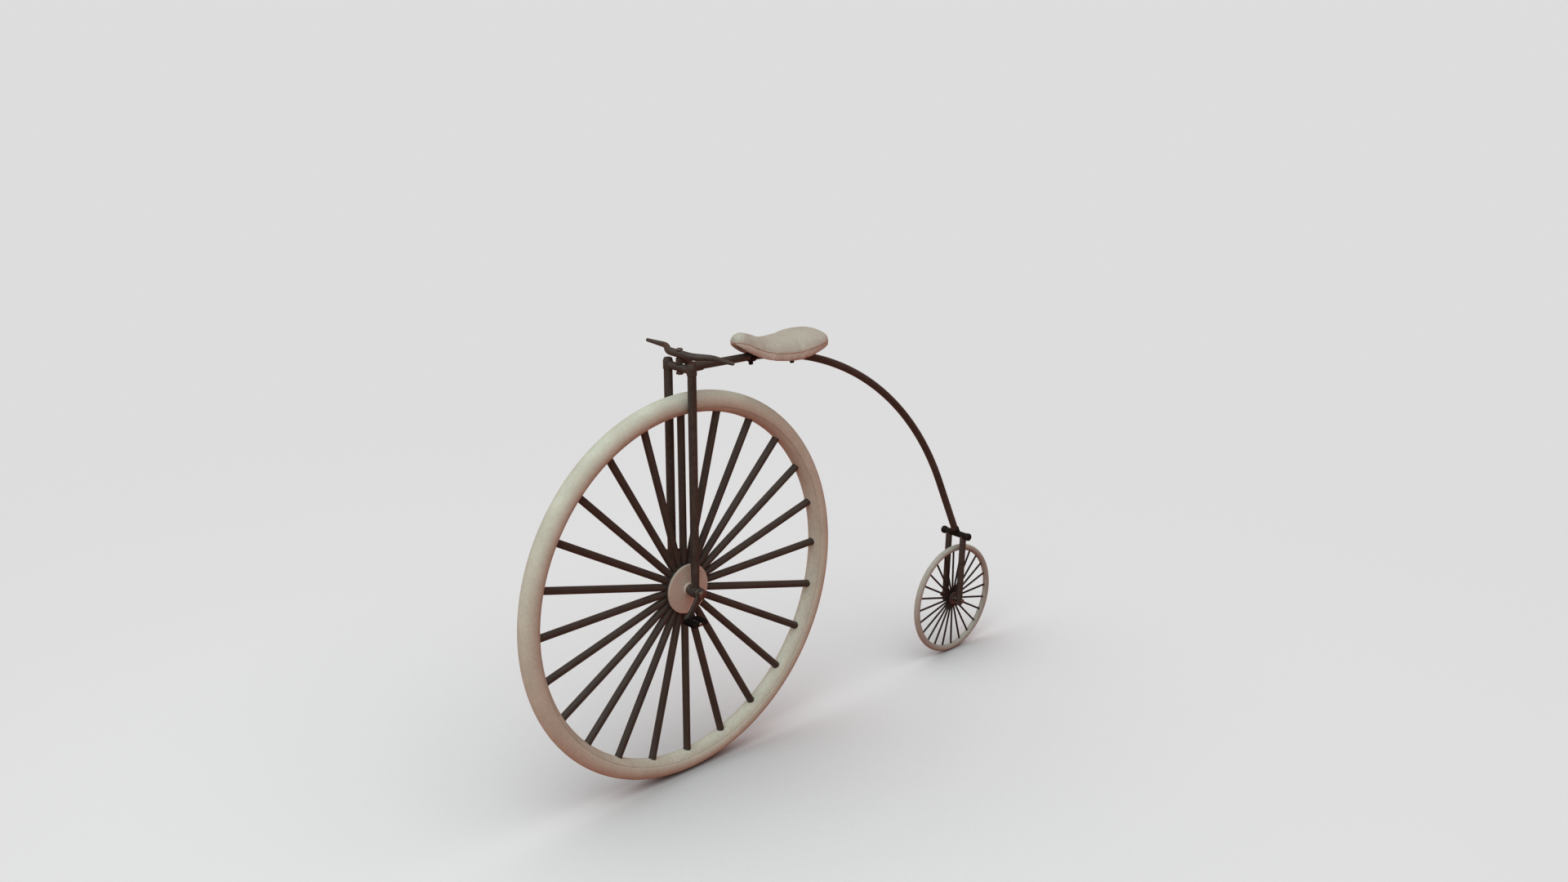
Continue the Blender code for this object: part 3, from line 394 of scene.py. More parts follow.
def smooth(made, angle=SHARP):
    """Closes the edit, points the faces outwards and smooths all but the sharp edges."""
    bpy.ops.object.mode_set(mode="EDIT")
    bpy.ops.mesh.select_all(action="SELECT")
    bpy.ops.mesh.remove_doubles(threshold=MERGE)
    bpy.ops.mesh.normals_make_consistent(inside=False)
    bpy.ops.object.mode_set(mode="OBJECT")
    bpy.ops.object.shade_smooth_by_angle(angle=angle)
    bpy.ops.object.transform_apply(location=True, rotation=True, scale=True)
    return made


def modify(made, kind, **settings):
    """Adds a modifier with its settings and applies it."""
    bpy.context.view_layer.objects.active = made
    change = made.modifiers.new(kind.lower(), kind)
    for key, value in settings.items():
        setattr(change, key, value)
    bpy.ops.object.modifier_apply(modifier=change.name)


def round_edges(made, width, segments=3, angle=SHARP):
    modify(made, "BEVEL", width=width, segments=segments, limit_method="ANGLE", angle_limit=angle)
    return smooth(made)


def join(name, pieces):
    """Joins finished pieces into one, which takes the first one's finish."""
    choose(pieces[0])
    for piece in pieces:
        piece.select_set(True)
    bpy.ops.object.join()
    pieces[0].name = name
    pieces[0].data.name = name
    return pieces[0]


def forged(made, voxel, rounds):
    """Melts overlapping shapes into one skin with soft inner corners."""
    modify(made, "REMESH", mode="VOXEL", voxel_size=voxel)
    modify(made, "SMOOTH", factor=0.5, iterations=rounds)
    for face in made.data.polygons:
        face.use_smooth = True
    return made


def lathe(name, centre, profile, steps, soften=0.0, axis=ALONG_Y):
    """Turns a wire of (along, radius) corners about an axis, with each corner rounded."""
    deselect()
    out = axis.orthogonal().normalized()
    corners = [centre + axis * along + out * radius for along, radius in profile]
    bpy.ops.mesh.primitive_plane_add(size=SEED, location=corners[0])
    made = begin(name)
    bpy.ops.mesh.merge(type="CENTER")
    for first, second in zip(corners, corners[1:]):
        extrude(second - first)
    if soften:
        bpy.ops.mesh.select_all(action="SELECT")
        bpy.ops.mesh.bevel(offset=soften, segments=3, affect="VERTICES", clamp_overlap=True)
    bpy.ops.mesh.select_all(action="SELECT")
    bpy.ops.mesh.spin(steps=steps, angle=math.tau, center=centre, axis=axis)
    return smooth(made)


def sweep(name, path, radii, sides, side=ALONG_Y):
    """A round bar: a circle extruded from point to point, turned about one side direction."""
    deselect()
    course = []
    for i in range(len(path)):
        along = path[min(i + 1, len(path) - 1)] - path[max(i - 1, 0)]
        course.append(along.normalized())
    facing = course[0].to_track_quat("Z", "Y").to_euler()
    bpy.ops.mesh.primitive_circle_add(
        vertices=sides, radius=radii[0], fill_type="NGON", location=path[0], rotation=facing
    )
    made = begin(name)
    letter = "XYZ"[max(range(3), key=lambda i: abs(side[i]))]
    for i in range(1, len(path)):
        extrude(path[i] - path[i - 1])
        turn = course[i - 1].cross(course[i]).dot(side)
        angle = math.asin(max(-1.0, min(1.0, turn)))
        bpy.ops.transform.rotate(
            value=-angle, orient_axis=letter, orient_type="GLOBAL", center_override=path[i]
        )
        grow = radii[i] / radii[i - 1]
        bpy.ops.transform.resize(value=(grow, grow, grow), center_override=path[i])
    return smooth(made)


def block(name, centre, dimensions):
    """A box at its place, closed for the modifiers that finish it."""
    deselect()
    bpy.ops.mesh.primitive_cube_add(size=1, location=centre, scale=dimensions)
    made = begin(name)
    bpy.ops.object.mode_set(mode="OBJECT")
    bpy.ops.object.transform_apply(location=True, rotation=True, scale=True)
    return made


def bar(name, centre, radius, half, soften=0.0, axis=ALONG_Y, sides=BAR_SIDES):
    """A closed round bar that reaches as far to both sides of its centre."""
    profile = [(-half, 0.0), (-half, radius), (half, radius), (half, 0.0)]
    return lathe(name, centre, profile, sides, soften, axis)


def bored(low, high, bore, radius):
    """The closed profile of a ring with a bore."""
    return [(low, bore), (low, radius), (high, radius), (high, bore), (low, bore)]


def mirrored(half):
    """A profile from the middle outwards, with its mirror image before it."""
    return [(-along, radius) for along, radius in reversed(half)] + half


def on_side(profile, sign):
    """A profile for the left side, or its mirror image for the right side."""
    return [(sign * along, radius) for along, radius in profile]


def rivet(place, axis, radius):
    """A low round head that stands out of a surface."""
    profile = [(-HEAD_SINK * radius, 0.0), (-HEAD_SINK * radius, radius)]
    for angle in between(0.0, math.pi / 2, 5):
        profile.append((HEAD_RISE * radius * math.sin(angle), radius * math.cos(angle)))
    return lathe("rivet", place, profile, HEAD_SIDES, 0.0, axis)


def hexagon(name, centre, radius, thickness, axis):
    """A six-sided nut or bolt head with its corners turned off."""
    deselect()
    facing = axis.to_track_quat("Z", "Y").to_euler()
    bpy.ops.mesh.primitive_cylinder_add(
        vertices=6, radius=radius, depth=thickness, location=centre, rotation=facing
    )
    made = begin(name)
    pick("FACE", lambda face: len(face.verts) == 6)
    bpy.ops.mesh.inset(thickness=NUT_INSET * radius)
    bpy.ops.object.mode_set(mode="OBJECT")
    return round_edges(made, NUT_ROUNDING * radius)


def mark_edges(made):
    """Stores how sharp the outer edge at each point is, from 0 to 1, for the wear."""
    shape = bmesh.new()
    shape.from_mesh(made.data)
    values = []
    for vert in shape.verts:
        bend = max((edge.calc_face_angle_signed(0.0) for edge in vert.link_edges), default=0.0)
        values.append(max(0.0, min(1.0, (bend - EDGE_FROM) / EDGE_OVER)))
    shape.free()
    made.data.attributes.new("edge", "FLOAT", "POINT").data.foreach_set("value", values)


def finish(made, surface, slot, body, *nodes):
    """Gives a piece its finish, the body it rides on and the nodes it stands for."""
    mark_edges(made)
    made.data.materials.clear()
    made.data.materials.append(surface)
    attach(made, body)
    if nodes:
        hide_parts(*nodes)
    return made


def nut(node, radius, axis, surface, body):
    """A steel hexagon in a node's place, as thick as the node is along the axis."""
    made = hexagon(f"{node}_hex", middle(node), radius, size(node).dot(axis), axis)
    finish(made, surface, "steel", body, node)


def between(low, high, count):
    return [low + (high - low) * i / (count - 1) for i in range(count)]


def eased(share):
    return share * share * (3 - 2 * share)


# Shader groups


class Tree:
    """A node tree with short ways to add and to link nodes."""

    def __init__(self, nodes_of):
        self.tree = nodes_of

    def add(self, kind, settings=None, **inputs):
        node = self.tree.nodes.new(f"ShaderNode{kind}")
        for key, value in (settings or {}).items():
            setattr(node, key, value)
        for key, value in inputs.items():
            place = int(key[1:]) if key[0] == "_" else key.replace("_", " ")
            if isinstance(value, bpy.types.NodeSocket):
                self.tree.links.new(value, node.inputs[place])
            else:
                node.inputs[place].default_value = value
        return node

    def link(self, source, target):
        self.tree.links.new(source, target)

    def math(self, operation, first, second):
        node = self.add("Math", {"operation": operation}, _0=first, _1=second)
        return node.outputs[0]

    def spread(self, value, start, end, low=0.0, high=1.0):
        """Maps a value's range to another one, and holds it at both ends."""
        node = self.add("MapRange", _0=value, _1=start, _2=end, _3=low, _4=high)
        return node.outputs[0]


def group(name, inputs, outputs):
    """A node group with named sockets, and its tree with its two end nodes."""
    made = bpy.data.node_groups.new(name, "ShaderNodeTree")
    kinds = {float: "NodeSocketFloat", tuple: "NodeSocketColor", Vector: "NodeSocketVector"}
    for key, kind in inputs.items():
        made.interface.new_socket(key, in_out="INPUT", socket_type=kinds[kind])
    for key, kind in outputs.items():
        made.interface.new_socket(key, in_out="OUTPUT", socket_type=kinds[kind])
    tree = Tree(made)
    tree.entry = made.nodes.new("NodeGroupInput").outputs
    tree.exit = made.nodes.new("NodeGroupOutput").inputs
    return tree


def mottle_group():
    """Slow and fast variation between two colours."""
    tree = group(
        "mottle",
        {"Vector": Vector, "Scale": float, "Low": tuple, "High": tuple},
        {"Colour": tuple, "Mask": float},
    )
    place = tree.entry["Vector"]
    slow = tree.add("TexNoise", Vector=place, Scale=tree.entry["Scale"], Detail=6.0)
    finer = tree.math("MULTIPLY", tree.entry["Scale"], 7.3)
    fast = tree.add("TexNoise", Vector=place, Scale=finer, Detail=4.0)
    both = tree.math("ADD", slow.outputs[0], fast.outputs[0])
    mask = tree.spread(both, 0.75, 1.25)
    mix = tree.add("Mix", {"data_type": "RGBA"}, _0=mask)
    tree.link(tree.entry["Low"], mix.inputs[6])
    tree.link(tree.entry["High"], mix.inputs[7])
    tree.link(mix.outputs[2], tree.exit["Colour"])
    tree.link(mask, tree.exit["Mask"])
    return tree.tree


def wear_group():
    """Chips that gather along outer edges: a mask that is 1 where the finish is gone."""
    tree = group(
        "wear",
        {"Vector": Vector, "Scale": float, "Amount": float, "Edge": float},
        {"Mask": float},
    )
    chips = tree.add(
        "TexNoise", Vector=tree.entry["Vector"], Scale=tree.entry["Scale"], Detail=9.0
    )
    gathered = tree.math("MULTIPLY", tree.entry["Edge"], 0.15)
    level = tree.math("ADD", chips.outputs[0], gathered)
    level = tree.math("ADD", level, tree.entry["Amount"])
    tree.link(tree.spread(level, 0.71, 0.74), tree.exit["Mask"])
    return tree.tree


def grain_group():
    """Long fibres along a UV map's V direction."""
    tree = group("grain", {"Vector": Vector, "Scale": float}, {"Mask": float, "Height": float})
    drawn = tree.add("Mapping", Vector=tree.entry["Vector"], Scale=(1.0, 0.06, 1.0)).outputs[0]
    warp = tree.add("TexNoise", Vector=drawn, Scale=tree.entry["Scale"], Detail=3.0)
    finer = tree.math("MULTIPLY", tree.entry["Scale"], 5.0)
    fibre = tree.add("TexNoise", Vector=drawn, Scale=finer, Detail=8.0, Distortion=0.6)
    both = tree.math("ADD", warp.outputs[0], fibre.outputs[0])
    tree.link(tree.spread(both, 0.8, 1.2), tree.exit["Mask"])
    tree.link(fibre.outputs[0], tree.exit["Height"])
    return tree.tree


def turning_group():
    """The fine rings that a lathe leaves round an axis along Y through the vector's zero."""
    tree = group("turning", {"Vector": Vector, "Pitch": float}, {"Height": float})
    parts = tree.add("SeparateXYZ", _0=tree.entry["Vector"]).outputs
    flat = tree.add("CombineXYZ", X=parts[0], Z=parts[2]).outputs[0]
    radius = tree.add("VectorMath", {"operation": "LENGTH"}, _0=flat).outputs[1]
    along = tree.math("ADD", radius, parts[1])
    rings = tree.add(
        "TexNoise", {"noise_dimensions": "1D"}, W=along, Scale=tree.entry["Pitch"], Detail=3.0
    )
    tree.link(rings.outputs[0], tree.exit["Height"])
    return tree.tree


def hide_group():
    """Leather's pebbled grain with fine creases."""
    tree = group("hide", {"Vector": Vector, "Scale": float}, {"Height": float, "Mask": float})
    cells = tree.add(
        "TexVoronoi",
        {"feature": "DISTANCE_TO_EDGE"},
        Vector=tree.entry["Vector"],
        Scale=tree.entry["Scale"],
    )
    pebble = tree.spread(cells.outputs[0], 0.0, 0.22)
    coarser = tree.math("MULTIPLY", tree.entry["Scale"], 0.35)
    soft = tree.add("TexNoise", Vector=tree.entry["Vector"], Scale=coarser, Detail=6.0)
    tree.link(tree.math("ADD", pebble, soft.outputs[0]), tree.exit["Height"])
    tree.link(soft.outputs[0], tree.exit["Mask"])
    return tree.tree


MOTTLE = mottle_group()
WEAR = wear_group()
GRAIN = grain_group()
TURNING = turning_group()
HIDE = hide_group()


# Finishes


class Finish(Tree):
    """A material with the Object coordinates of the piece and its shader at hand."""

    def __init__(self, name, roughness, metallic=0.0, shine=0.5, centre=None):
        self.material = bpy.data.materials.new(name)
        self.material.use_nodes = True
        super().__init__(self.material.node_tree)
        self.shader = self.tree.nodes["Principled BSDF"]
        self.shader.inputs["Roughness"].default_value = roughness
        self.shader.inputs["Metallic"].default_value = metallic
        self.shader.inputs["Specular IOR Level"].default_value = shine
        place = self.add("TexCoord").outputs["Object"]
        if centre is not None:
            place = self.add("Mapping", Vector=place, Location=-centre).outputs[0]
        self.place = place

    def use(self, tree, **inputs):
        node = self.tree.nodes.new("ShaderNodeGroup")
        node.node_tree = tree
        for key, value in inputs.items():
            if isinstance(value, bpy.types.NodeSocket):
                self.link(value, node.inputs[key])
            else:
                node.inputs[key].default_value = value
        return node.outputs

    def mottled(self, scale, low, high):
        """Two colours in patches, as a colour and a mask."""
        patches = self.use(MOTTLE, Vector=self.place, Scale=scale, Low=low, High=high)
        return patches["Colour"], patches["Mask"]

    def worn(self, scale, amount):
        edge = self.value("edge")
        return self.use(WEAR, Vector=self.place, Scale=scale, Amount=amount, Edge=edge)["Mask"]

    def value(self, name):
        """What the piece's mesh stores under a name."""
        return self.add("Attribute", {"attribute_name": name}).outputs["Fac"]

    def noise(self, scale, detail):
        return self.add("TexNoise", Vector=self.place, Scale=scale, Detail=detail).outputs[0]

    def blend(self, share, first, second):
        """Mixes two colours, each a socket or a value, by a share."""
        mix = self.add("Mix", {"data_type": "RGBA"}, _0=share)
        for place, colour in ((6, first), (7, second)):
            if isinstance(colour, bpy.types.NodeSocket):
                self.link(colour, mix.inputs[place])
            else:
                mix.inputs[place].default_value = colour
        return mix.outputs[2]

    def paint(self, colour, roughness):
        self.link(colour, self.shader.inputs["Base Color"])
        self.link(roughness, self.shader.inputs["Roughness"])

    def bump(self, *heights):
        """Adds (height, strength, distance) bumps on top of each other."""
        normal = None
        for height, strength, distance in heights:
            bump = self.add("Bump", Strength=strength, Distance=distance)
            self.link(height, bump.inputs["Height"])
            if normal is not None:
                self.link(normal, bump.inputs["Normal"])
            normal = bump.outputs[0]
        self.link(normal, self.shader.inputs["Normal"])


def rgb(red, green, blue):
    return (red, green, blue, 1.0)


def enamel(name, low, high, bare, roughness, shine, wear):
    """Brushed enamel with a faint orange peel, rubbed through at edges and in small chips."""
    look = Finish(name, roughness, shine=shine)
    colour, _ = look.mottled(9.0, low, high)
    worn = look.worn(160.0, wear)
    look.paint(
        look.blend(worn, colour, bare),
        look.spread(worn, 0.0, 1.0, roughness, roughness + 0.2),
    )
    look.bump((look.noise(520.0, 2.0), 0.15, 0.0003), (worn, 0.20, -0.0002))
    return look.material


def turned_steel(name, centre):
    """Steel from the lathe, dulled and browned with age."""
    look = Finish(name, 0.38, metallic=1.0, centre=centre)
    colour, patches = look.mottled(60.0, rgb(0.085, 0.078, 0.070), rgb(0.240, 0.228, 0.212))
    look.paint(colour, look.spread(patches, 0.0, 1.0, 0.52, 0.32))
    rings = look.use(TURNING, Vector=look.place, Pitch=1400.0)["Height"]
    look.bump((rings, 0.25, 0.0003))
    return look.material


def tyre_rubber(name, low, high):
    """Pale solid rubber with a mould line, chalky, and dusty where it meets the road."""
    look = Finish(name, 0.80, shine=0.25)
    colour, patches = look.mottled(14.0, low, high)
    tread = look.value("tread")
    dust = look.spread(look.noise(6.0, 8.0), 0.42, 0.72, 0.0, 0.5)
    dust = look.math("MULTIPLY", dust, look.spread(tread, 0.1, 0.8, 0.35, 1.0))
    look.paint(
        look.blend(dust, colour, rgb(0.375, 0.365, 0.300)),
        look.spread(patches, 0.0, 1.0, 0.74, 0.88),
    )
    mould = look.spread(tread, 0.975, 0.99)
    look.bump((look.noise(900.0, 3.0), 0.20, 0.0003), (mould, 0.35, 0.0003))
    return look.material


def rim_paint(name, low, high):
    """Paint in the tyre's colour, brushed on, with the brown wood showing at chips."""
    look = Finish(name, 0.60, shine=0.3)
    colour, _ = look.mottled(11.0, low, high)
    worn = look.worn(90.0, -0.060)
    look.paint(
        look.blend(worn, colour, rgb(0.240, 0.160, 0.115)),
        look.spread(worn, 0.0, 1.0, 0.58, 0.80),
    )
    look.bump((look.noise(260.0, 4.0), 0.15, 0.0004), (worn, 0.25, -0.0004))
    return look.material


def spoke_wood(name, low, high):
    """Dark stained wood with its fibres along each spoke."""
    look = Finish(name, 0.55, shine=0.25)
    lengthwise = look.add("TexCoord").outputs["UV"]
    grain = look.use(GRAIN, Vector=lengthwise, Scale=26.0)
    colour = look.blend(grain["Mask"], low, high)
    shade = look.spread(look.noise(18.0, 5.0), 0.40, 0.66, 0.0, 0.45)
    look.paint(look.blend(shade, colour, low), look.spread(grain["Mask"], 0.0, 1.0, 0.48, 0.64))
    look.bump((grain["Height"], 0.30, 0.0005))
    return look.material


def hub_paint(name, centre, low, high):
    """Reddish enamel over a turned plate."""
    look = Finish(name, 0.58, shine=0.3, centre=centre)
    colour, _ = look.mottled(22.0, low, high)
    worn = look.worn(110.0, -0.060)
    look.paint(
        look.blend(worn, colour, rgb(0.16, 0.105, 0.082)),
        look.spread(worn, 0.0, 1.0, 0.52, 0.70),
    )
    rings = look.use(TURNING, Vector=look.place, Pitch=420.0)["Height"]
    look.bump((rings, 0.25, 0.0004), (worn, 0.20, -0.0003))
    return look.material


def pedal_rubber():
    """Black rubber, matt and a little greyed."""
    look = Finish("pedal_rubber", 0.80, shine=0.05)
    colour, patches = look.mottled(90.0, rgb(0.0020, 0.0020, 0.0022), rgb(0.0055, 0.0052, 0.0050))
    look.paint(colour, look.spread(patches, 0.0, 1.0, 0.70, 0.88))
    look.bump((look.noise(1500.0, 2.0), 0.25, 0.0002))
    return look.material


def saddle_leather():
    """Pale hide on top and tan hide on the skirts, with a pebbled grain and rubbed creases."""
    look = Finish("saddle_leather", 0.66, shine=0.3)
    top, patches = look.mottled(20.0, rgb(0.355, 0.378, 0.330), rgb(0.405, 0.432, 0.380))
    side, _ = look.mottled(20.0, rgb(0.410, 0.415, 0.362), rgb(0.470, 0.478, 0.420))
    grain = look.use(HIDE, Vector=look.place, Scale=330.0)
    colour = look.blend(look.value("skirt"), top, side)
    shade = look.spread(grain["Mask"], 0.40, 0.80, 0.0, 0.25)
    look.paint(
        look.blend(shade, colour, rgb(0.26, 0.195, 0.145)),
        look.spread(grain["Mask"], 0.0, 1.0, 0.56, 0.74),
    )
    look.bump((grain["Height"], 0.35, 0.0006), (patches, 0.12, 0.0012))
    return look.material


def welt_leather():
    """The folded strip of brown hide in the saddle's seam."""
    look = Finish("welt_leather", 0.60, shine=0.3)
    colour, patches = look.mottled(120.0, rgb(0.260, 0.190, 0.145), rgb(0.340, 0.255, 0.200))
    look.paint(colour, look.spread(patches, 0.0, 1.0, 0.48, 0.70))
    look.bump((look.use(HIDE, Vector=look.place, Scale=900.0)["Height"], 0.25, 0.0002))
    return look.material


def linen_thread():
    """Waxed linen, twisted."""
    look = Finish("linen_thread", 0.75, shine=0.2)
    colour, patches = look.mottled(300.0, rgb(0.430, 0.385, 0.300), rgb(0.560, 0.515, 0.420))
    look.paint(colour, look.spread(patches, 0.0, 1.0, 0.66, 0.84))
    look.bump((look.noise(2600.0, 2.0), 0.40, 0.0002))
    return look.material


BROWN = enamel(
    "frame_enamel",
    rgb(0.0280, 0.0250, 0.0212),
    rgb(0.0480, 0.0455, 0.0390),
    rgb(0.115, 0.100, 0.080),
    roughness=0.50,
    shine=0.30,
    wear=-0.055,
)
BLACK = enamel(
    "black_iron",
    rgb(0.0055, 0.0048, 0.0046),
    rgb(0.0110, 0.0098, 0.0092),
    rgb(0.045, 0.038, 0.033),
    roughness=0.55,
    shine=0.10,
    wear=-0.055,
)
STEEL = turned_steel("steel", FRONT_HUB)
REAR_STEEL = turned_steel("rear_steel", REAR_HUB)
RUBBER = tyre_rubber("tyre_rubber", rgb(0.410, 0.462, 0.395), rgb(0.485, 0.545, 0.468))
REAR_RUBBER = tyre_rubber("rear_tyre_rubber", rgb(0.270, 0.300, 0.275), rgb(0.340, 0.375, 0.345))
RIM = rim_paint("rim_paint", rgb(0.378, 0.422, 0.358), rgb(0.460, 0.512, 0.440))
REAR_RIM = rim_paint("rear_rim_paint", rgb(0.250, 0.275, 0.250), rgb(0.320, 0.350, 0.320))
SPOKE = spoke_wood("spoke_wood", rgb(0.0265, 0.0235, 0.0200), rgb(0.0600, 0.0560, 0.0475))
REAR_SPOKE = spoke_wood("rear_spoke_wood", rgb(0.008, 0.0075, 0.007), rgb(0.024, 0.022, 0.019))
HUB = hub_paint("hub_paint", FRONT_HUB, rgb(0.385, 0.372, 0.322), rgb(0.440, 0.430, 0.375))
REAR_HUB_PAINT = hub_paint(
    "rear_hub_paint", REAR_HUB, rgb(0.050, 0.036, 0.032), rgb(0.085, 0.062, 0.055)
)
TREAD = pedal_rubber()
LEATHER = saddle_leather()
WELT = welt_leather()
THREAD = linen_thread()


# Wheels


def section_wire(wheel, name, keep_above, gap):
    """The wire of a wheel's round section at its top, cut at the rim's seat and softened."""
    deselect()
    place = wheel.hub + UPRIGHT * (wheel.radius - wheel.section)
    bpy.ops.mesh.primitive_circle_add(
        vertices=SECTION_SIDES,
        radius=wheel.section,
        fill_type="NGON",
        location=place,
        rotation=(0, math.pi / 2, 0),
    )
    made = begin(name)
    seat = place.z - wheel.section + wheel.rim_depth - gap
    bpy.ops.mesh.bisect(
        plane_co=(wheel.hub.x, 0, seat),
        plane_no=UPRIGHT,
        use_fill=False,
        clear_inner=keep_above,
        clear_outer=not keep_above,
    )
    bpy.ops.mesh.select_all(action="SELECT")
    bpy.ops.mesh.delete(type="ONLY_FACE")
    if not keep_above:
        bpy.ops.mesh.select_all(action="SELECT")
        bpy.ops.transform.resize(value=(1, RIM_NARROWING, 1), center_override=wheel.hub)
    pick("VERT", lambda vert: abs((made.matrix_world @ vert.co).z - seat) < MERGE)
    bpy.ops.mesh.bevel(offset=SEAT_ROUNDING * wheel.section, segments=4, affect="VERTICES")
    return made


def spin_round(made, wheel):
    bpy.ops.mesh.select_all(action="SELECT")
    bpy.ops.mesh.spin(steps=wheel.steps, angle=math.tau, center=wheel.hub, axis=ALONG_Y)
    return smooth(made)


def tyre(wheel, surface):
    """A solid tyre with rounded edges, seated in the rim."""
    made = spin_round(section_wire(wheel, f"{wheel.name}_tyre_solid", True, 0.0), wheel)
    values = [max(0.0, 1 - abs(vert.co.y) / wheel.section) for vert in made.data.vertices]
    made.data.attributes.new("tread", "FLOAT", "POINT").data.foreach_set("value", values)
    finish(made, surface, "tyre_rubber", wheel.body, f"{wheel.name}_tyre")


def rim(wheel, surface):
    """The round-bellied rim, a hair narrower than the tyre above it."""
    made = spin_round(section_wire(wheel, f"{wheel.name}_rim_felloe", False, SEAT_GAP), wheel)
    finish(made, surface, "rim_paint", wheel.body, f"{wheel.name}_rim")


def spokes(wheel, surface):
    """One spoke with a slim root and a collar at the rim, copied round, and their nave."""
    rim_inside = wheel.radius - 2 * wheel.section
    root = wheel.nave_radius - SPOKE_SINK * wheel.spoke_radius
    end = rim_inside + SOCKET_DEPTH * wheel.rim_depth
    collar = rim_inside - COLLAR_LENGTH * wheel.spoke_radius
    swell = wheel.nave_radius + TAPER_LENGTH * wheel.spoke_radius
    deselect()
    bpy.ops.mesh.primitive_cylinder_add(
        vertices=wheel.spoke_sides,
        radius=wheel.spoke_radius,
        depth=end - root,
        location=wheel.hub + UPRIGHT * (root + end) / 2,
    )
    made = begin(f"{wheel.name}_spoke_set")
    for cut in (swell, collar - COLLAR_STEP * wheel.spoke_radius, collar):
        bpy.ops.mesh.select_all(action="SELECT")
        bpy.ops.mesh.bisect(plane_co=wheel.hub + UPRIGHT * cut, plane_no=UPRIGHT)
    base = made.location.z - wheel.hub.z
    ends = (
        (root - MERGE, root + MERGE, SPOKE_TAPER),
        (collar - MERGE, end + MERGE, SPOKE_COLLAR),
    )
    for low, high, share in ends:
        pick("VERT", lambda vert: low <= vert.co.z + base <= high)
        bpy.ops.transform.resize(value=(share, share, 1), center_override=wheel.hub)
    bpy.ops.mesh.select_all(action="SELECT")
    bpy.ops.mesh.spin(
        steps=SPOKES - 1,
        dupli=True,
        angle=math.tau * (SPOKES - 1) / SPOKES,
        center=wheel.hub,
        axis=ALONG_Y,
    )
    made = smooth(made)
    half = wheel.nave_half_width
    ring = bored(-half, half, wheel.axle_radius + RUNNING_GAP, wheel.nave_radius)
    nave = lathe("nave", wheel.hub, ring, NAVE_SIDES, NAVE_ROUNDING * half)
    made = join(made.name, [made, nave])
    finish(made, surface, "spoke_finish", wheel.body, f"{wheel.name}_spokes")


def hub_plates(wheel, paint):
    """A turned plate on each side, riveted to the nave, with a low coned boss."""
    inside = wheel.nave_half_width + SEAT_GAP
    outside = inside + wheel.plate_thickness
    edge = wheel.plate_radius
    round_off = PLATE_ROUNDING * wheel.plate_thickness
    head = RIVET_SIZE * edge
    bore = wheel.axle_radius + RUNNING_GAP
    for side, sign in SIDES:
        profile = [
            (inside, bore),
            (inside, edge),
            (outside - round_off, edge),
            (outside, edge - round_off),
            (outside, BOSS_FLARE * wheel.boss_radius),
            (outside + wheel.boss_height, wheel.boss_radius),
            (outside + wheel.boss_height, bore),
            (inside, bore),
        ]
        name = f"{wheel.name}_hub_face_{side}"
        soften = FACE_ROUNDING * wheel.plate_thickness
        face = lathe(name, wheel.hub, on_side(profile, sign), PLATE_SIDES, soften)
        place = wheel.hub + UPRIGHT * (RIVET_CIRCLE * edge) + ALONG_Y * (sign * outside)
        heads = rivet(place, ALONG_Y * sign, head)
        bpy.ops.object.mode_set(mode="EDIT")
        bpy.ops.mesh.select_all(action="SELECT")
        bpy.ops.mesh.spin(
            steps=PLATE_RIVETS - 1,
            dupli=True,
            angle=math.tau * (PLATE_RIVETS - 1) / PLATE_RIVETS,
            center=wheel.hub,
            axis=ALONG_Y,
        )
        made = join(name, [face, smooth(heads)])
        finish(made, paint, "hub_paint", wheel.body, f"{wheel.name}_hub_plate_{side}")


def wheel_pieces(wheel, rubber, rim_surface, spoke_surface, plate_surface):
    tyre(wheel, rubber)
    rim(wheel, rim_surface)
    spokes(wheel, spoke_surface)
    hub_plates(wheel, plate_surface)


# Front axle, cranks and pedals


def front_axle():
    low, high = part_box("front_axle")
    reach = (high.y - low.y) / 2
    hub_face = FRONT.nave_half_width + SEAT_GAP + FRONT.plate_thickness + FRONT.boss_height
    eye_inside = LEG_SPREAD - LEG_EYE_HALF_WIDTH
    eye_outside = LEG_SPREAD + LEG_EYE_HALF_WIDTH
    rod = FRONT.axle_radius
    collar = rod + AXLE_COLLAR_WALL
    half = [
        (hub_face, rod),
        (hub_face, collar),
        (eye_inside - RUNNING_GAP, collar),
        (eye_inside - RUNNING_GAP, rod),
        (eye_outside + RUNNING_GAP, rod),
        (eye_outside + RUNNING_GAP, collar),
        (CRANK_INSIDE - SEAT_GAP, collar),
        (CRANK_INSIDE - SEAT_GAP, rod),
        (reach - AXLE_CHAMFER, rod),
        (reach, rod - AXLE_CHAMFER),
        (reach, 0.0),
    ]
    made = lathe("front_axle_turned", FRONT_HUB, mirrored(half), EYE_SIDES, TURNED_EDGE)
    finish(made, STEEL, "steel", "front_wheel", "front_axle")
    for side, _ in SIDES:
        nut(f"axle_nut_{side}", AXLE_NUT_RADIUS, ALONG_Y, STEEL, "front_wheel")


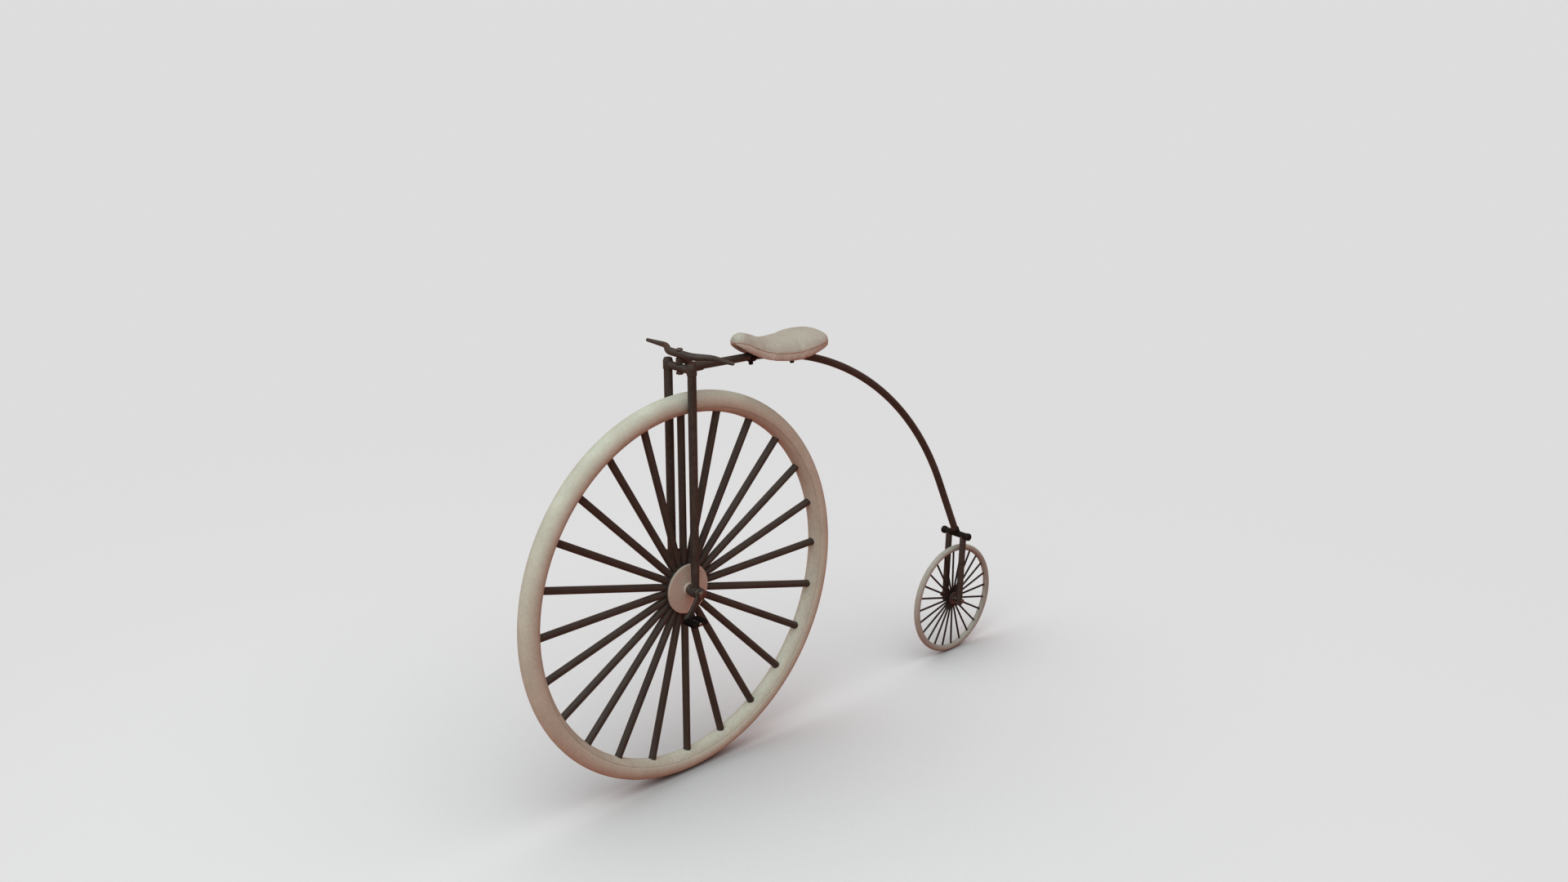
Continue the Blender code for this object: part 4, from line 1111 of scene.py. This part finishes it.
def crank(side, sign):
    """A flat forged arm, waisted between the eye on the axle and the eye on the pin."""
    thickness = CRANK_OUTSIDE - CRANK_INSIDE
    origin = Vector((0, 0, 0))
    tip = Vector((CRANK_LENGTH, 0, 0))
    pieces = [
        bar("axle_eye", origin, CRANK_AXLE_EYE, thickness / 2, FORGED_EDGE, sides=EYE_SIDES),
        bar("pin_eye", tip, CRANK_PIN_EYE, thickness / 2, FORGED_EDGE, sides=EYE_SIDES),
    ]
    half_width = CRANK_STATIONS[0][1]
    arm = block("crank_arm", origin, Vector((CRANK_BLOCK, thickness, 2 * half_width)))
    bpy.ops.object.mode_set(mode="EDIT")
    pick("FACE", lambda face: face.normal.x > 0.9)
    for (start, first), (end, second) in zip(CRANK_STATIONS, CRANK_STATIONS[1:]):
        extrude(Vector(((end - start) * CRANK_LENGTH, 0, 0)))
        bpy.ops.transform.resize(value=(1, 1, second / first), center_override=origin)
    bpy.ops.object.mode_set(mode="OBJECT")
    pieces.append(round_edges(arm, CRANK_ROUNDING))
    made = forged(join(f"crank_arm_{side}", pieces), FINE_GRAIN, rounds=8)
    turn = math.pi / 2 - CRANK_ANGLE + (0.0 if sign > 0 else math.pi)
    choose(made)
    made.rotation_euler = (0, turn, 0)
    made.location = FRONT_HUB + ALONG_Y * (sign * (CRANK_INSIDE + CRANK_OUTSIDE) / 2)
    bpy.ops.object.transform_apply(location=True, rotation=True, scale=True)
    finish(made, BROWN, "frame_paint", "front_wheel", f"crank_{side}")


def pedal_pin(side, sign):
    low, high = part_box(f"pedal_pin_{side}")
    start, end = sorted((abs(low.y), abs(high.y)))
    pin = PEDAL_PIN_RADIUS
    head = PEDAL_COLLAR_RADIUS
    outside = PEDAL_INSIDE + PEDAL.y
    profile = [
        (start - PEDAL_PIN_SINK, 0.0),
        (start - PEDAL_PIN_SINK, pin),
        (CRANK_OUTSIDE + SEAT_GAP, pin),
        (CRANK_OUTSIDE + SEAT_GAP, head),
        (PEDAL_INSIDE - RUNNING_GAP, head),
        (PEDAL_INSIDE - RUNNING_GAP, pin),
        (outside + RUNNING_GAP, pin),
        (outside + RUNNING_GAP, head),
        (end, PEDAL_PIN_END * head),
        (end, 0.0),
    ]
    centre = JOINTS[f"pedal_{side}_spin"] * Vector((1, 0, 1))
    made = lathe(f"pedal_pin_turned_{side}", centre, on_side(profile, sign), PIN_SIDES, PIN_EDGE)
    finish(made, STEEL, "steel", "front_wheel", f"pedal_pin_{side}")


def pedal(side, sign):
    """Rounded end plates on a barrel, with two grooved rubbers on rods between them."""
    centre = JOINTS[f"pedal_{side}_spin"]
    body = f"pedal_{side}"
    half = PEDAL.y / 2
    barrel = [
        (-half + PEDAL_PLATE, PEDAL_BARREL_BORE),
        (-half + PEDAL_PLATE, PEDAL_COLLAR_RADIUS),
        (half - PEDAL_PLATE, PEDAL_COLLAR_RADIUS),
        (half - PEDAL_PLATE, PEDAL_BARREL_BORE),
    ]
    pieces = [lathe("barrel", centre, barrel, PIN_SIDES)]
    for offset in (-1, 1):
        place = centre + ALONG_Y * (offset * (half - PEDAL_PLATE / 2))
        plate = block("plate", place, (PEDAL.x, PEDAL_PLATE, PEDAL.z))
        pieces.append(round_edges(plate, PEDAL_PLATE_ROUNDING, angle=math.radians(80)))
    for which in ("front", "rear"):
        tread = middle(f"pedal_tread_{which}_{side}")
        place = Vector((tread.x, centre.y + sign * half, tread.z))
        pieces.append(rivet(place, ALONG_Y * sign, PEDAL_ROD_HEAD))
    made = join(f"pedal_cage_{side}", pieces)
    finish(made, BLACK, "black_iron", body, f"pedal_frame_{side}")
    for which in ("front", "rear"):
        pedal_tread(f"pedal_tread_{which}_{side}", body)


def pedal_tread(node, body):
    """A block of rubber with grooves cut round it across the pedal."""
    place = middle(node)
    length = size(node).y
    made = block(f"{node}_grooved", place, size(node))
    bpy.ops.object.mode_set(mode="EDIT")
    floors = []
    for share in between(-GROOVE_REACH, GROOVE_REACH, PEDAL_GROOVES):
        for offset in (-GROOVE_HALF_TOP, -GROOVE_HALF_FLOOR, GROOVE_HALF_FLOOR, GROOVE_HALF_TOP):
            cut = place.y + share * length + offset
            bpy.ops.mesh.select_all(action="SELECT")
            bpy.ops.mesh.bisect(plane_co=Vector((0, cut, 0)), plane_no=ALONG_Y)
            if abs(offset) == GROOVE_HALF_FLOOR:
                floors.append(cut)
    pick("VERT", lambda vert: any(abs(vert.co.y - cut) < MERGE for cut in floors))
    bpy.ops.transform.resize(value=GROOVE_WAIST, center_override=place)
    bpy.ops.object.mode_set(mode="OBJECT")
    round_edges(made, GROOVE_ROUNDING, segments=2, angle=math.radians(25))
    finish(made, TREAD, "pedal_rubber", body, node)


# Fork and handlebar


def fork_leg(side, sign):
    """A round leg with a rounded-off top and an eye at its foot."""
    place = Vector((FRONT_HUB.x, sign * LEG_SPREAD, 0))
    dome = LEG_DOME * LEG_RADIUS
    stations = [(FRONT_HUB.z + LEG_START, LEG_START_SHARE), (FRONT_HUB.z + LEG_ROOT, 1.0)]
    for share in between(0.0, 1.0, 7):
        height = LEG_TOP - dome * (1 - share)
        fullness = LEG_TOP_SHARE + (1 - LEG_TOP_SHARE) * math.sqrt(1 - share * share)
        stations.append((height, fullness))
    path = [place + UPRIGHT * height for height, _ in stations]
    radii = [LEG_RADIUS * share for _, share in stations]
    leg = sweep(f"leg_{side}", path, radii, BAR_SIDES)
    bore = FRONT.axle_radius + RUNNING_GAP
    ring = bored(-LEG_EYE_HALF_WIDTH, LEG_EYE_HALF_WIDTH, bore, LEG_EYE_RADIUS)
    centre = FRONT_HUB + ALONG_Y * (sign * LEG_SPREAD)
    eye = lathe("leg_eye", centre, ring, EYE_SIDES, FORGED_EDGE)
    made = join(f"fork_blade_{side}", [leg, eye])
    finish(made, BROWN, "frame_paint", "fork", f"fork_leg_{side}")


def crown():
    """The bar between the legs, forged in one with a screwed collar round each of them."""
    height = size("fork_crown").z / 2
    outer = LEG_RADIUS + CROWN_COLLAR_WALL
    pieces = [bar("crown_bar", CROWN, CROWN_RADIUS, LEG_SPREAD)]
    screws = []
    for _, sign in SIDES:
        centre = CROWN + ALONG_Y * (sign * LEG_SPREAD)
        pieces.append(bar("collar", centre, outer, height, COLLAR_EDGE, UPRIGHT))
        screws.append(rivet(centre + Vector((outer, 0, 0)), Vector((1, 0, 0)), CROWN_SCREW_RADIUS))
    made = forged(join("fork_crown_forged", pieces), COARSE_GRAIN, rounds=6)
    made = join(made.name, [made] + screws)
    finish(made, BROWN, "frame_paint", "fork", "fork_crown")


def spindle():
    low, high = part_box("steering_spindle")
    head = SPINDLE_HEAD_RADIUS
    start = BAR_HEIGHT + BAR_RADIUS + SEAT_GAP
    profile = [
        (low.z, 0.0),
        (low.z, SPINDLE_RADIUS - SPINDLE_CHAMFER),
        (low.z + SPINDLE_CHAMFER, SPINDLE_RADIUS),
        (start, SPINDLE_RADIUS),
        (start, head),
        (start + SPINDLE_HEAD_SIDE * (high.z - start), head),
        (high.z - SPINDLE_HEAD_DOME, SPINDLE_HEAD_TOP * head),
        (high.z, 0.0),
    ]
    centre = Vector((STEERING.x, 0, 0))
    made = lathe("steering_bolt", centre, profile, BAR_SIDES, SPINDLE_EDGE, UPRIGHT)
    finish(made, STEEL, "steel", "fork", "steering_spindle")
    nut("spindle_nut", SPINDLE_NUT_RADIUS, UPRIGHT, STEEL, "fork")


def handlebar():
    """One bar, thick at the head and drawn out to slim rounded tips."""
    reach = BAR_STRAIGHT + BAR_BEND + BAR_END
    path = []
    radii = []
    for y in between(-reach, reach, 81):
        beyond = max(0.0, abs(y) - BAR_STRAIGHT)
        back = -BAR_SWEEP * eased(min(1.0, beyond / BAR_BEND))
        path.append(Vector((STEERING.x + back, y, BAR_HEIGHT)))
        taper = beyond / (BAR_BEND + BAR_END)
        left = reach - abs(y)
        radius = BAR_RADIUS + (BAR_TIP_RADIUS - BAR_RADIUS) * taper
        if left < BAR_TIP_RADIUS:
            radius *= math.sqrt(max(BAR_TIP_FLAT, 1 - (1 - left / BAR_TIP_RADIUS) ** 2))
        radii.append(radius)
    made = sweep("handlebar_drawn", path, radii, BAR_SIDES, UPRIGHT)
    finish(made, BROWN, "frame_paint", "fork", "handlebar")


# Backbone, head and rear fork


def falling(degrees):
    """The direction that runs backwards and falls below level by an angle."""
    angle = math.radians(degrees)
    return Vector((-math.cos(angle), 0, -math.sin(angle)))


FIRST = falling(BACKBONE_FALL)
LAST = falling(BACKBONE_TAIL_FALL)
BEND = math.radians(BACKBONE_TAIL_FALL - BACKBONE_FALL)
TAIL = CROSSBAR - LAST * (TAIL_SHORT * CROSSBAR_RADIUS)


def backbone_shape():
    """The front straight's length, the arc's radius and the tail's length."""
    span = TAIL - BACKBONE_START
    turn = FIRST.x * LAST.z - FIRST.z * LAST.x
    front = (span.x * LAST.z - span.z * LAST.x) / turn
    rear = (FIRST.x * span.z - FIRST.z * span.x) / turn
    rounded = min(front - BACKBONE_RUN, rear - BACKBONE_TAIL)
    return front - rounded, rounded / math.tan(BEND / 2), rear - rounded


def backbone_arc():
    """The point where the front straight ends, the middle of the arc and its radius."""
    run, radius, _ = backbone_shape()
    corner = BACKBONE_START + FIRST * run
    return corner, corner - Vector((FIRST.z, 0, -FIRST.x)) * radius, radius


def backbone():
    """A circle extruded along the front run, spun round the bend and extruded to the tail."""
    run, _, tail = backbone_shape()
    _, centre, _ = backbone_arc()
    deselect()
    bpy.ops.mesh.primitive_circle_add(
        vertices=BAR_SIDES,
        radius=BACKBONE_RADIUS,
        fill_type="NGON",
        location=BACKBONE_START,
        rotation=FIRST.to_track_quat("Z", "Y").to_euler(),
    )
    made = begin("backbone_tube")
    extrude(FIRST * run)
    bpy.ops.mesh.spin(steps=90, angle=BEND, center=centre, axis=ALONG_Y)
    extrude(LAST * tail)
    finish(smooth(made), BROWN, "frame_paint", "frame", "backbone")


def backbone_at(x):
    """The point and the direction of the backbone at an X on its front run or its arc."""
    corner, centre, radius = backbone_arc()
    if x > corner.x:
        return BACKBONE_START + FIRST * ((x - BACKBONE_START.x) / FIRST.x), FIRST
    lean = math.asin((centre.x - x) / radius)
    out = Vector((-math.sin(lean), 0, math.cos(lean)))
    return centre + out * radius, Vector((-math.cos(lean), 0, -math.sin(lean)))


def pin_heads(place, radius):
    """The two heads of a pin driven across a socket."""
    heads = []
    for _, sign in SIDES:
        heads.append(rivet(place + ALONG_Y * (sign * radius), ALONG_Y * sign, LUG_PIN_RADIUS))
    return heads


def head_lug():
    """A forged head: an eye on the spindle, a neck, and a socket pinned on the backbone."""
    low = EYE_LOW + RUNNING_GAP
    high = EYE_HIGH - RUNNING_GAP
    centre = Vector((STEERING.x, 0, 0))
    ring = bored(low, high, EYE_BORE, EYE_RADIUS)
    pieces = [lathe("eye", centre, ring, EYE_SIDES, 0.0, UPRIGHT)]
    socket_radius = BACKBONE_RADIUS + SOCKET_WALL
    wall = BACKBONE_START - FIRST * SOCKET_WALL
    start = centre + Vector((-NECK_START * EYE_RADIUS, 0, (low + high) / 2))
    path = []
    radii = []
    for share in between(0.0, 1.0, 14):
        point = start.lerp(wall, share)
        point.z = start.z + (wall.z - start.z) * eased(share)
        path.append(point)
        radii.append(NECK_RADIUS + (socket_radius - NECK_RADIUS) * eased(share))
    end = BACKBONE_START + FIRST * SOCKET_LENGTH
    for back, share in ((SOCKET_LIP, 1.0), (0.0, SOCKET_LIP_SHARE)):
        path.append(end - FIRST * back)
        radii.append(socket_radius * share)
    pieces.append(sweep("neck", path, radii, BAR_SIDES))
    made = forged(join("head_forging", pieces), FINE_GRAIN, rounds=5)
    heads = pin_heads(BACKBONE_START + FIRST * (0.5 * SOCKET_LENGTH), socket_radius)
    made = join(made.name, [made] + heads)
    finish(made, BROWN, "frame_paint", "frame", "head_lug")


def crossbar():
    """The rear bar, forged in one with the tail's pinned socket, and a knob on each end."""
    outer = BACKBONE_RADIUS + SOCKET_WALL
    tail_middle = TAIL - LAST * TAIL_SOCKET_RISE
    pieces = [bar("rear_bar", CROSSBAR, CROSSBAR_RADIUS, CROSSBAR_REACH, TURNED_EDGE)]
    socket = bar("tail_socket", tail_middle, outer, TAIL_SOCKET_HALF_LENGTH, COLLAR_EDGE, LAST)
    pieces.append(socket)
    made = forged(join("rear_crossbar_forged", pieces), COARSE_GRAIN, rounds=6)
    made = join(made.name, [made] + pin_heads(TAIL - LAST * TAIL_PIN_RISE, outer))
    finish(made, BLACK, "black_iron", "frame", "rear_crossbar")
    for side, sign in SIDES:
        node = f"crossbar_cap_{side}"
        low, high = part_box(node)
        start, end = sorted((abs(low.y), abs(high.y)))
        length = end - start
        radius = size(node).z / 2
        profile = [
            (start, 0.0),
            (start, KNOB_BACK * radius),
            (start + KNOB_FLARE * length, radius),
        ]
        for share in between(KNOB_DOME, 1.0, 7):
            fall = (share - KNOB_DOME) / (1 - KNOB_DOME)
            profile.append((start + share * length, radius * math.sqrt(1 - fall * fall)))
        made = lathe(f"{node}_knob", CROSSBAR, on_side(profile, sign), KNOB_SIDES)
        finish(made, BLACK, "black_iron", "frame", node)


def rear_leg(side, sign):
    """A leg from the crossbar down past the axle, rounded off at its foot."""
    spread = ALONG_Y * (sign * REAR_LEG_SPREAD)
    top = CROSSBAR + spread
    axle = REAR_HUB + spread
    down = (axle - top).normalized()
    foot = axle + down * REAR_LEG_BELOW_AXLE
    path = [top]
    radii = [REAR_LEG_RADIUS]
    for share in between(0.0, 1.0, 7):
        path.append(foot - down * (REAR_LEG_DOME * REAR_LEG_RADIUS * (1 - share)))
        fullness = 1 - REAR_LEG_DOME + REAR_LEG_DOME * math.sqrt(1 - share * share)
        radii.append(REAR_LEG_RADIUS * fullness)
    made = sweep(f"rear_fork_leg_{side}", path, radii, BAR_SIDES)
    finish(made, BROWN, "frame_paint", "frame", f"rear_leg_{side}")


def rear_axle():
    low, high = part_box("rear_axle")
    reach = (high.y - low.y) / 2
    rod = REAR.axle_radius
    collar = rod + REAR_COLLAR_WALL
    hub_face = REAR.nave_half_width + SEAT_GAP + REAR.plate_thickness + REAR.boss_height
    leg_inside = REAR_LEG_SPREAD - REAR_LEG_RADIUS + REAR_COLLAR_SINK
    half = [
        (hub_face + RUNNING_GAP, rod),
        (hub_face + RUNNING_GAP, collar),
        (leg_inside, collar),
        (leg_inside, rod),
        (reach, rod),
        (reach, 0.0),
    ]
    made = lathe("rear_axle_turned", REAR_HUB, mirrored(half), BAR_SIDES, REAR_AXLE_EDGE)
    finish(made, REAR_STEEL, "steel", "frame", "rear_axle")
    for side, _ in SIDES:
        nut(f"rear_axle_nut_{side}", REAR_NUT_RADIUS, ALONG_Y, REAR_STEEL, "frame")


# Saddle


def copy_of(node, name):
    """A merged copy of a CAD node's mesh, to start a soft piece from."""
    made = bpy.data.objects.new(name, frame["nodes"][node].data.copy())
    bpy.context.scene.collection.objects.link(made)
    choose(made)
    bpy.ops.object.mode_set(mode="EDIT")
    bpy.ops.mesh.select_all(action="SELECT")
    bpy.ops.mesh.remove_doubles(threshold=MERGE)
    bpy.ops.mesh.normals_make_consistent(inside=False)
    bpy.ops.object.mode_set(mode="OBJECT")
    return made


def pad_spans():
    """For each slice of the pad along X, from the rear, its lowest and highest point."""
    points = [vert.co for vert in frame["nodes"]["saddle_pad"].data.vertices]
    spans = []
    for place in sorted({round(point.x, 4) for point in points}):
        heights = [point.z for point in points if abs(point.x - place) < 1e-4]
        spans.append((place, min(heights), max(heights)))
    return spans


PAD_SPANS = pad_spans()


def pad_span_at(x):
    x = max(PAD_SPANS[0][0], min(PAD_SPANS[-1][0], x))
    for first, second in zip(PAD_SPANS, PAD_SPANS[1:]):
        if x <= second[0]:
            share = (x - first[0]) / (second[0] - first[0])
            low = first[1] + (second[1] - first[1]) * share
            return low, first[2] + (second[2] - first[2]) * share


def pad_middle(x):
    return sum(pad_span_at(x)) / 2


def saddle_pad():
    """The leather cover, swelled a little and with its underside held on the pan."""
    made = copy_of("saddle_pad", "saddle_cover")
    bpy.ops.object.mode_set(mode="EDIT")
    rear = PAD_SPANS[1][0] + MERGE
    pick("VERT", lambda vert: vert.co.x < rear and vert.co.z > pad_middle(vert.co.x))
    bpy.ops.transform.translate(value=PAD_REAR_LIFT)
    bpy.ops.object.mode_set(mode="OBJECT")
    modify(made, "REMESH", mode="VOXEL", voxel_size=PAD_VOXEL)
    modify(made, "SMOOTH", factor=0.5, iterations=3)
    modify(made, "DISPLACE", strength=-PAD_SHRINK, mid_level=0.0)
    rest = [vert.co.copy() for vert in made.data.vertices]
    normals = [vert.normal.copy() for vert in made.data.vertices]
    swell(made)
    for vert, start, normal in zip(made.data.vertices, rest, normals):
        move = vert.co - start
        if normal.z < PAD_UNDERSIDE:
            move = Vector((0, 0, 0))
        if move.length > PAD_SWELL:
            move *= PAD_SWELL / move.length
        vert.co = start + move + normal * (PAD_REGROWTH * PAD_SHRINK)
    modify(made, "SMOOTH", factor=0.5, iterations=4)
    modify(made, "SUBSURF", levels=1, render_levels=1)
    mark_skirt(made)
    for face in made.data.polygons:
        face.use_smooth = True
    finish(made, LEATHER, "saddle_leather", "frame", "saddle_pad")
    welt(made)
    stitches(made)


def swell(made):
    """Blows the pad up a little as cloth, and keeps the result."""
    scene = bpy.context.scene
    cloth = made.modifiers.new("swell", "CLOTH")
    cloth.settings.use_pressure = True
    cloth.settings.uniform_pressure_force = PAD_PRESSURE
    cloth.settings.effector_weights.gravity = 0.0
    for number in range(1, PAD_FRAMES + 1):
        scene.frame_set(number)
    bpy.context.view_layer.objects.active = made
    bpy.ops.object.modifier_apply(modifier=cloth.name)
    scene.frame_set(1)


def mark_skirt(made):
    """Stores which points lie below the seam, for the two hides."""
    values = []
    for vert in made.data.vertices:
        low, high = pad_span_at(vert.co.x)
        depth = (vert.co.z - low) / max(1e-4, high - low)
        values.append(max(0.0, min(1.0, (SEAM_SHARE - depth) / SEAM_BLEND + 0.5)))
    made.data.attributes.new("skirt", "FLOAT", "POINT").data.foreach_set("value", values)


def seam_loop(cover, lift):
    """Points on the cover all round the pad, with their normals, a little above its seam."""
    mesh = cover.data
    skin = BVHTree.FromPolygons(
        [vert.co for vert in mesh.vertices], [face.vertices for face in mesh.polygons]
    )
    front = PAD_SPANS[-1][0] - SEAM_FRONT
    rear = PAD_SPANS[0][0] + SEAM_REAR
    rays = [(x, 90) for x in between(front, rear, SEAM_SIDE_RAYS)]
    rays += [(rear, angle) for angle in between(90, 270, SEAM_REAR_RAYS)[1:-1]]
    rays += [(x, 270) for x in between(rear, front, SEAM_SIDE_RAYS)]
    rays += [(front, angle) for angle in between(270, 450, SEAM_FRONT_RAYS)[1:-1]]
    loop = []
    for centre, degrees in rays:
        angle = math.radians(degrees)
        out = Vector((math.cos(angle), math.sin(angle), 0))
        x = centre
        for _ in range(4):
            low, high = pad_span_at(x)
            height = low + SEAM_SHARE * (high - low) + lift
            start = Vector((centre, 0, height)) + out * RAY_START
            place, normal, _, _ = skin.ray_cast(start, -out)
            x = place.x
        loop.append((place, normal))
    return loop


def welt(cover):
    """A thin folded strip that stands out of the seam."""
    points = [place for place, _ in seam_loop(cover, 0.0)]
    deselect()
    bpy.ops.mesh.primitive_plane_add(size=SEED, location=points[0])
    made = begin("saddle_welt")
    bpy.ops.mesh.merge(type="CENTER")
    for first, second in zip(points, points[1:]):
        extrude(second - first)
    ends = [points[0] - points[0], points[-1] - points[0]]
    pick("VERT", lambda vert: min((vert.co - end).length for end in ends) < MERGE)
    bpy.ops.mesh.edge_face_add()
    bpy.ops.object.mode_set(mode="OBJECT")
    modify(made, "SMOOTH", factor=0.5, iterations=4)
    bpy.ops.object.convert(target="CURVE")
    made = bpy.context.object
    made.data.bevel_depth = WELT_RADIUS
    made.data.bevel_resolution = 3
    bpy.ops.object.convert(target="MESH")
    finish(smooth(bpy.context.object), WELT, "saddle_leather", "frame")


def stitches(cover):
    """One sunk stitch, copied all along above the welt."""
    deselect()
    bpy.ops.mesh.primitive_uv_sphere_add(segments=10, ring_count=6, radius=STITCH_RADIUS)
    stitch = begin("saddle_stitching")
    stretch = STITCH_LENGTH / (2 * STITCH_RADIUS)
    shape = (stretch, STITCH_WIDTH, STITCH_THICKNESS)
    bpy.ops.transform.resize(value=shape, center_override=(0, 0, 0))
    stitch = smooth(stitch)
    loop = seam_loop(cover, STITCH_RISE)
    copies = []
    travelled = 0.0
    for (first, normal), (second, _) in zip(loop, loop[1:] + loop[:1]):
        travelled += (second - first).length
        if travelled < STITCH_STEP:
            continue
        travelled -= STITCH_STEP
        course = (second - first).normalized()
        side = normal.cross(course).normalized()
        copy = stitch.copy()
        copy.data = stitch.data.copy()
        bpy.context.scene.collection.objects.link(copy)
        facing = Matrix((course, side, course.cross(side))).transposed()
        copy.matrix_world = Matrix.Translation(second) @ facing.to_4x4()
        copies.append(copy)
    made = join("saddle_stitching", [stitch] + copies)
    bpy.ops.object.transform_apply(location=True, rotation=True, scale=True)
    finish(made, THREAD, "saddle_leather", "frame")


def saddle_pan():
    made = copy_of("saddle_pan", "saddle_pan_plate")
    modify(made, "SUBSURF", levels=2, render_levels=2, subdivision_type="SIMPLE")
    modify(made, "SMOOTH", factor=0.5, iterations=2)
    finish(smooth(made), BLACK, "black_iron", "frame", "saddle_pan")


def clip(which):
    """A ring round the backbone with a bolted lug below it and a post up to the pan."""
    node = f"saddle_clip_{which}"
    low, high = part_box(node)
    x = (low.x + high.x) / 2
    centre, along = backbone_at(x)
    outer = BACKBONE_RADIUS + CLIP_WALL
    post = [
        (centre.z, 0.0),
        (centre.z, POST_FOOT),
        (centre.z + POST_FOOT_LENGTH, POST_WAIST),
        (high.z - POST_HEAD_LENGTH, POST_WAIST),
        (high.z, POST_HEAD),
        (high.z, 0.0),
    ]
    lug = centre + Vector((along.z, 0, -along.x)) * -(outer + CLIP_LUG_DROP)
    pieces = [
        bar("ring", centre, outer, CLIP_HALF_LENGTH, COLLAR_EDGE, along, EYE_SIDES),
        lathe("post", Vector((x, 0, 0)), post, PIN_SIDES, TURNED_EDGE, UPRIGHT),
        round_edges(block("lug", lug, CLIP_LUG), FORGED_EDGE),
    ]
    made = forged(join(f"{node}_forged", pieces), COARSE_GRAIN, rounds=5)
    bolts = []
    for _, sign in SIDES:
        place = lug - UPRIGHT * CLIP_BOLT_DROP + ALONG_Y * (sign * CLIP_BOLT_REACH)
        bolts.append(hexagon("bolt", place, CLIP_BOLT_RADIUS, CLIP_BOLT_HEIGHT, ALONG_Y))
    made = join(made.name, [made] + bolts)
    finish(made, BLACK, "black_iron", "frame", node)


# Room, light and camera


def floor():
    """A pale floor that darkens near the tyres, in cast and painted shadow, fades far off and casts
    a warm tone up.
    """
    deselect()
    bpy.ops.mesh.primitive_circle_add(
        vertices=96, radius=FLOOR_RADIUS, fill_type="NGON", location=(0, 0, GROUND)
    )
    made = bpy.context.object
    made.name = "floor"
    look = Finish("floor_paint", 1.0)
    tree = look.tree
    tree.nodes.remove(look.shader)
    out = tree.nodes["Material Output"]
    # painted shadow: the floor's colour darkens towards SHADOW_TONE where the bicycle hides the sky
    shade = look.add("AmbientOcclusion", {"samples": 16}, Distance=SHADOW_REACH)
    tone = look.blend(look.math("POWER", shade.outputs["AO"], SHADOW_DEPTH), SHADOW_TONE, FLOOR_TONE)
    near = look.add("BsdfDiffuse", Color=tone)
    bounce = look.add("BsdfDiffuse", Color=FLOOR_BOUNCE)
    far = look.add("Emission", Color=BACKDROP, Strength=1.0)
    reach = look.add("VectorMath", {"operation": "LENGTH"}, _0=look.place)
    seen = look.add("MixShader", _0=look.spread(reach.outputs[1], *FLOOR_FADE))
    look.link(near.outputs[0], seen.inputs[1])
    look.link(far.outputs[0], seen.inputs[2])
    rays = look.add("LightPath")
    both = look.add("MixShader", _0=rays.outputs["Is Camera Ray"])
    look.link(bounce.outputs[0], both.inputs[1])
    look.link(seen.outputs[0], both.inputs[2])
    look.link(both.outputs[0], out.inputs["Surface"])
    made.data.materials.append(look.material)


def lamp(name, place, aim, power, width, colour):
    data = bpy.data.lights.new(name, "AREA")
    data.energy = power
    data.size = width
    data.color = colour
    made = bpy.data.objects.new(name, data)
    made.location = place
    made.rotation_euler = (aim - place).to_track_quat("-Z", "Y").to_euler()
    bpy.context.scene.collection.objects.link(made)


def light():
    """Light from all round, bright from above and ahead and dim and warm from behind."""
    lamp("key", KEY_PLACE, KEY_AIM, KEY_POWER, KEY_WIDTH, KEY_COLOUR)
    world = bpy.data.worlds.new("studio")
    bpy.context.scene.world = world
    world.use_nodes = True
    tree = Tree(world.node_tree)
    facing = tree.add("VectorMath", {"operation": "DOT_PRODUCT"}, _1=LIGHT_FROM)
    tree.link(tree.add("TexCoord").outputs["Generated"], facing.inputs[0])
    share = tree.spread(facing.outputs[1], *LIGHT_SPREAD)
    tone = tree.add("Mix", {"data_type": "RGBA"}, _0=share)
    tone.inputs[6].default_value = DIM
    tone.inputs[7].default_value = BRIGHT
    ground = world.node_tree.nodes["Background"]
    tree.link(tone.outputs[2], ground.inputs["Color"])
    backdrop = tree.add("Background", Color=BACKDROP, Strength=1.0)
    rays = tree.add("LightPath")
    mix = tree.add("MixShader", _0=rays.outputs["Is Camera Ray"])
    tree.link(ground.outputs[0], mix.inputs[1])
    tree.link(backdrop.outputs[0], mix.inputs[2])
    tree.link(mix.outputs[0], world.node_tree.nodes["World Output"].inputs["Surface"])


def camera():
    data = bpy.data.cameras.new("camera")
    data.sensor_width = SENSOR
    data.lens = CAMERA_LENS
    data.clip_end = 100
    made = bpy.data.objects.new("camera", data)
    made.location = CAMERA_PLACE
    made.rotation_euler = CAMERA_AIM.to_track_quat("-Z", "Y").to_euler()
    bpy.context.scene.collection.objects.link(made)
    bpy.context.scene.camera = made


def main():
    wheel_pieces(FRONT, RUBBER, RIM, SPOKE, HUB)
    wheel_pieces(REAR, REAR_RUBBER, REAR_RIM, REAR_SPOKE, REAR_HUB_PAINT)
    front_axle()
    for side, sign in SIDES:
        crank(side, sign)
        pedal_pin(side, sign)
        pedal(side, sign)
        fork_leg(side, sign)
        rear_leg(side, sign)
    crown()
    spindle()
    handlebar()
    backbone()
    head_lug()
    crossbar()
    rear_axle()
    saddle_pad()
    saddle_pan()
    for which in ("front", "rear"):
        clip(which)
    floor()
    light()
    camera()
    bpy.context.scene.view_settings.view_transform = "Standard"


main()
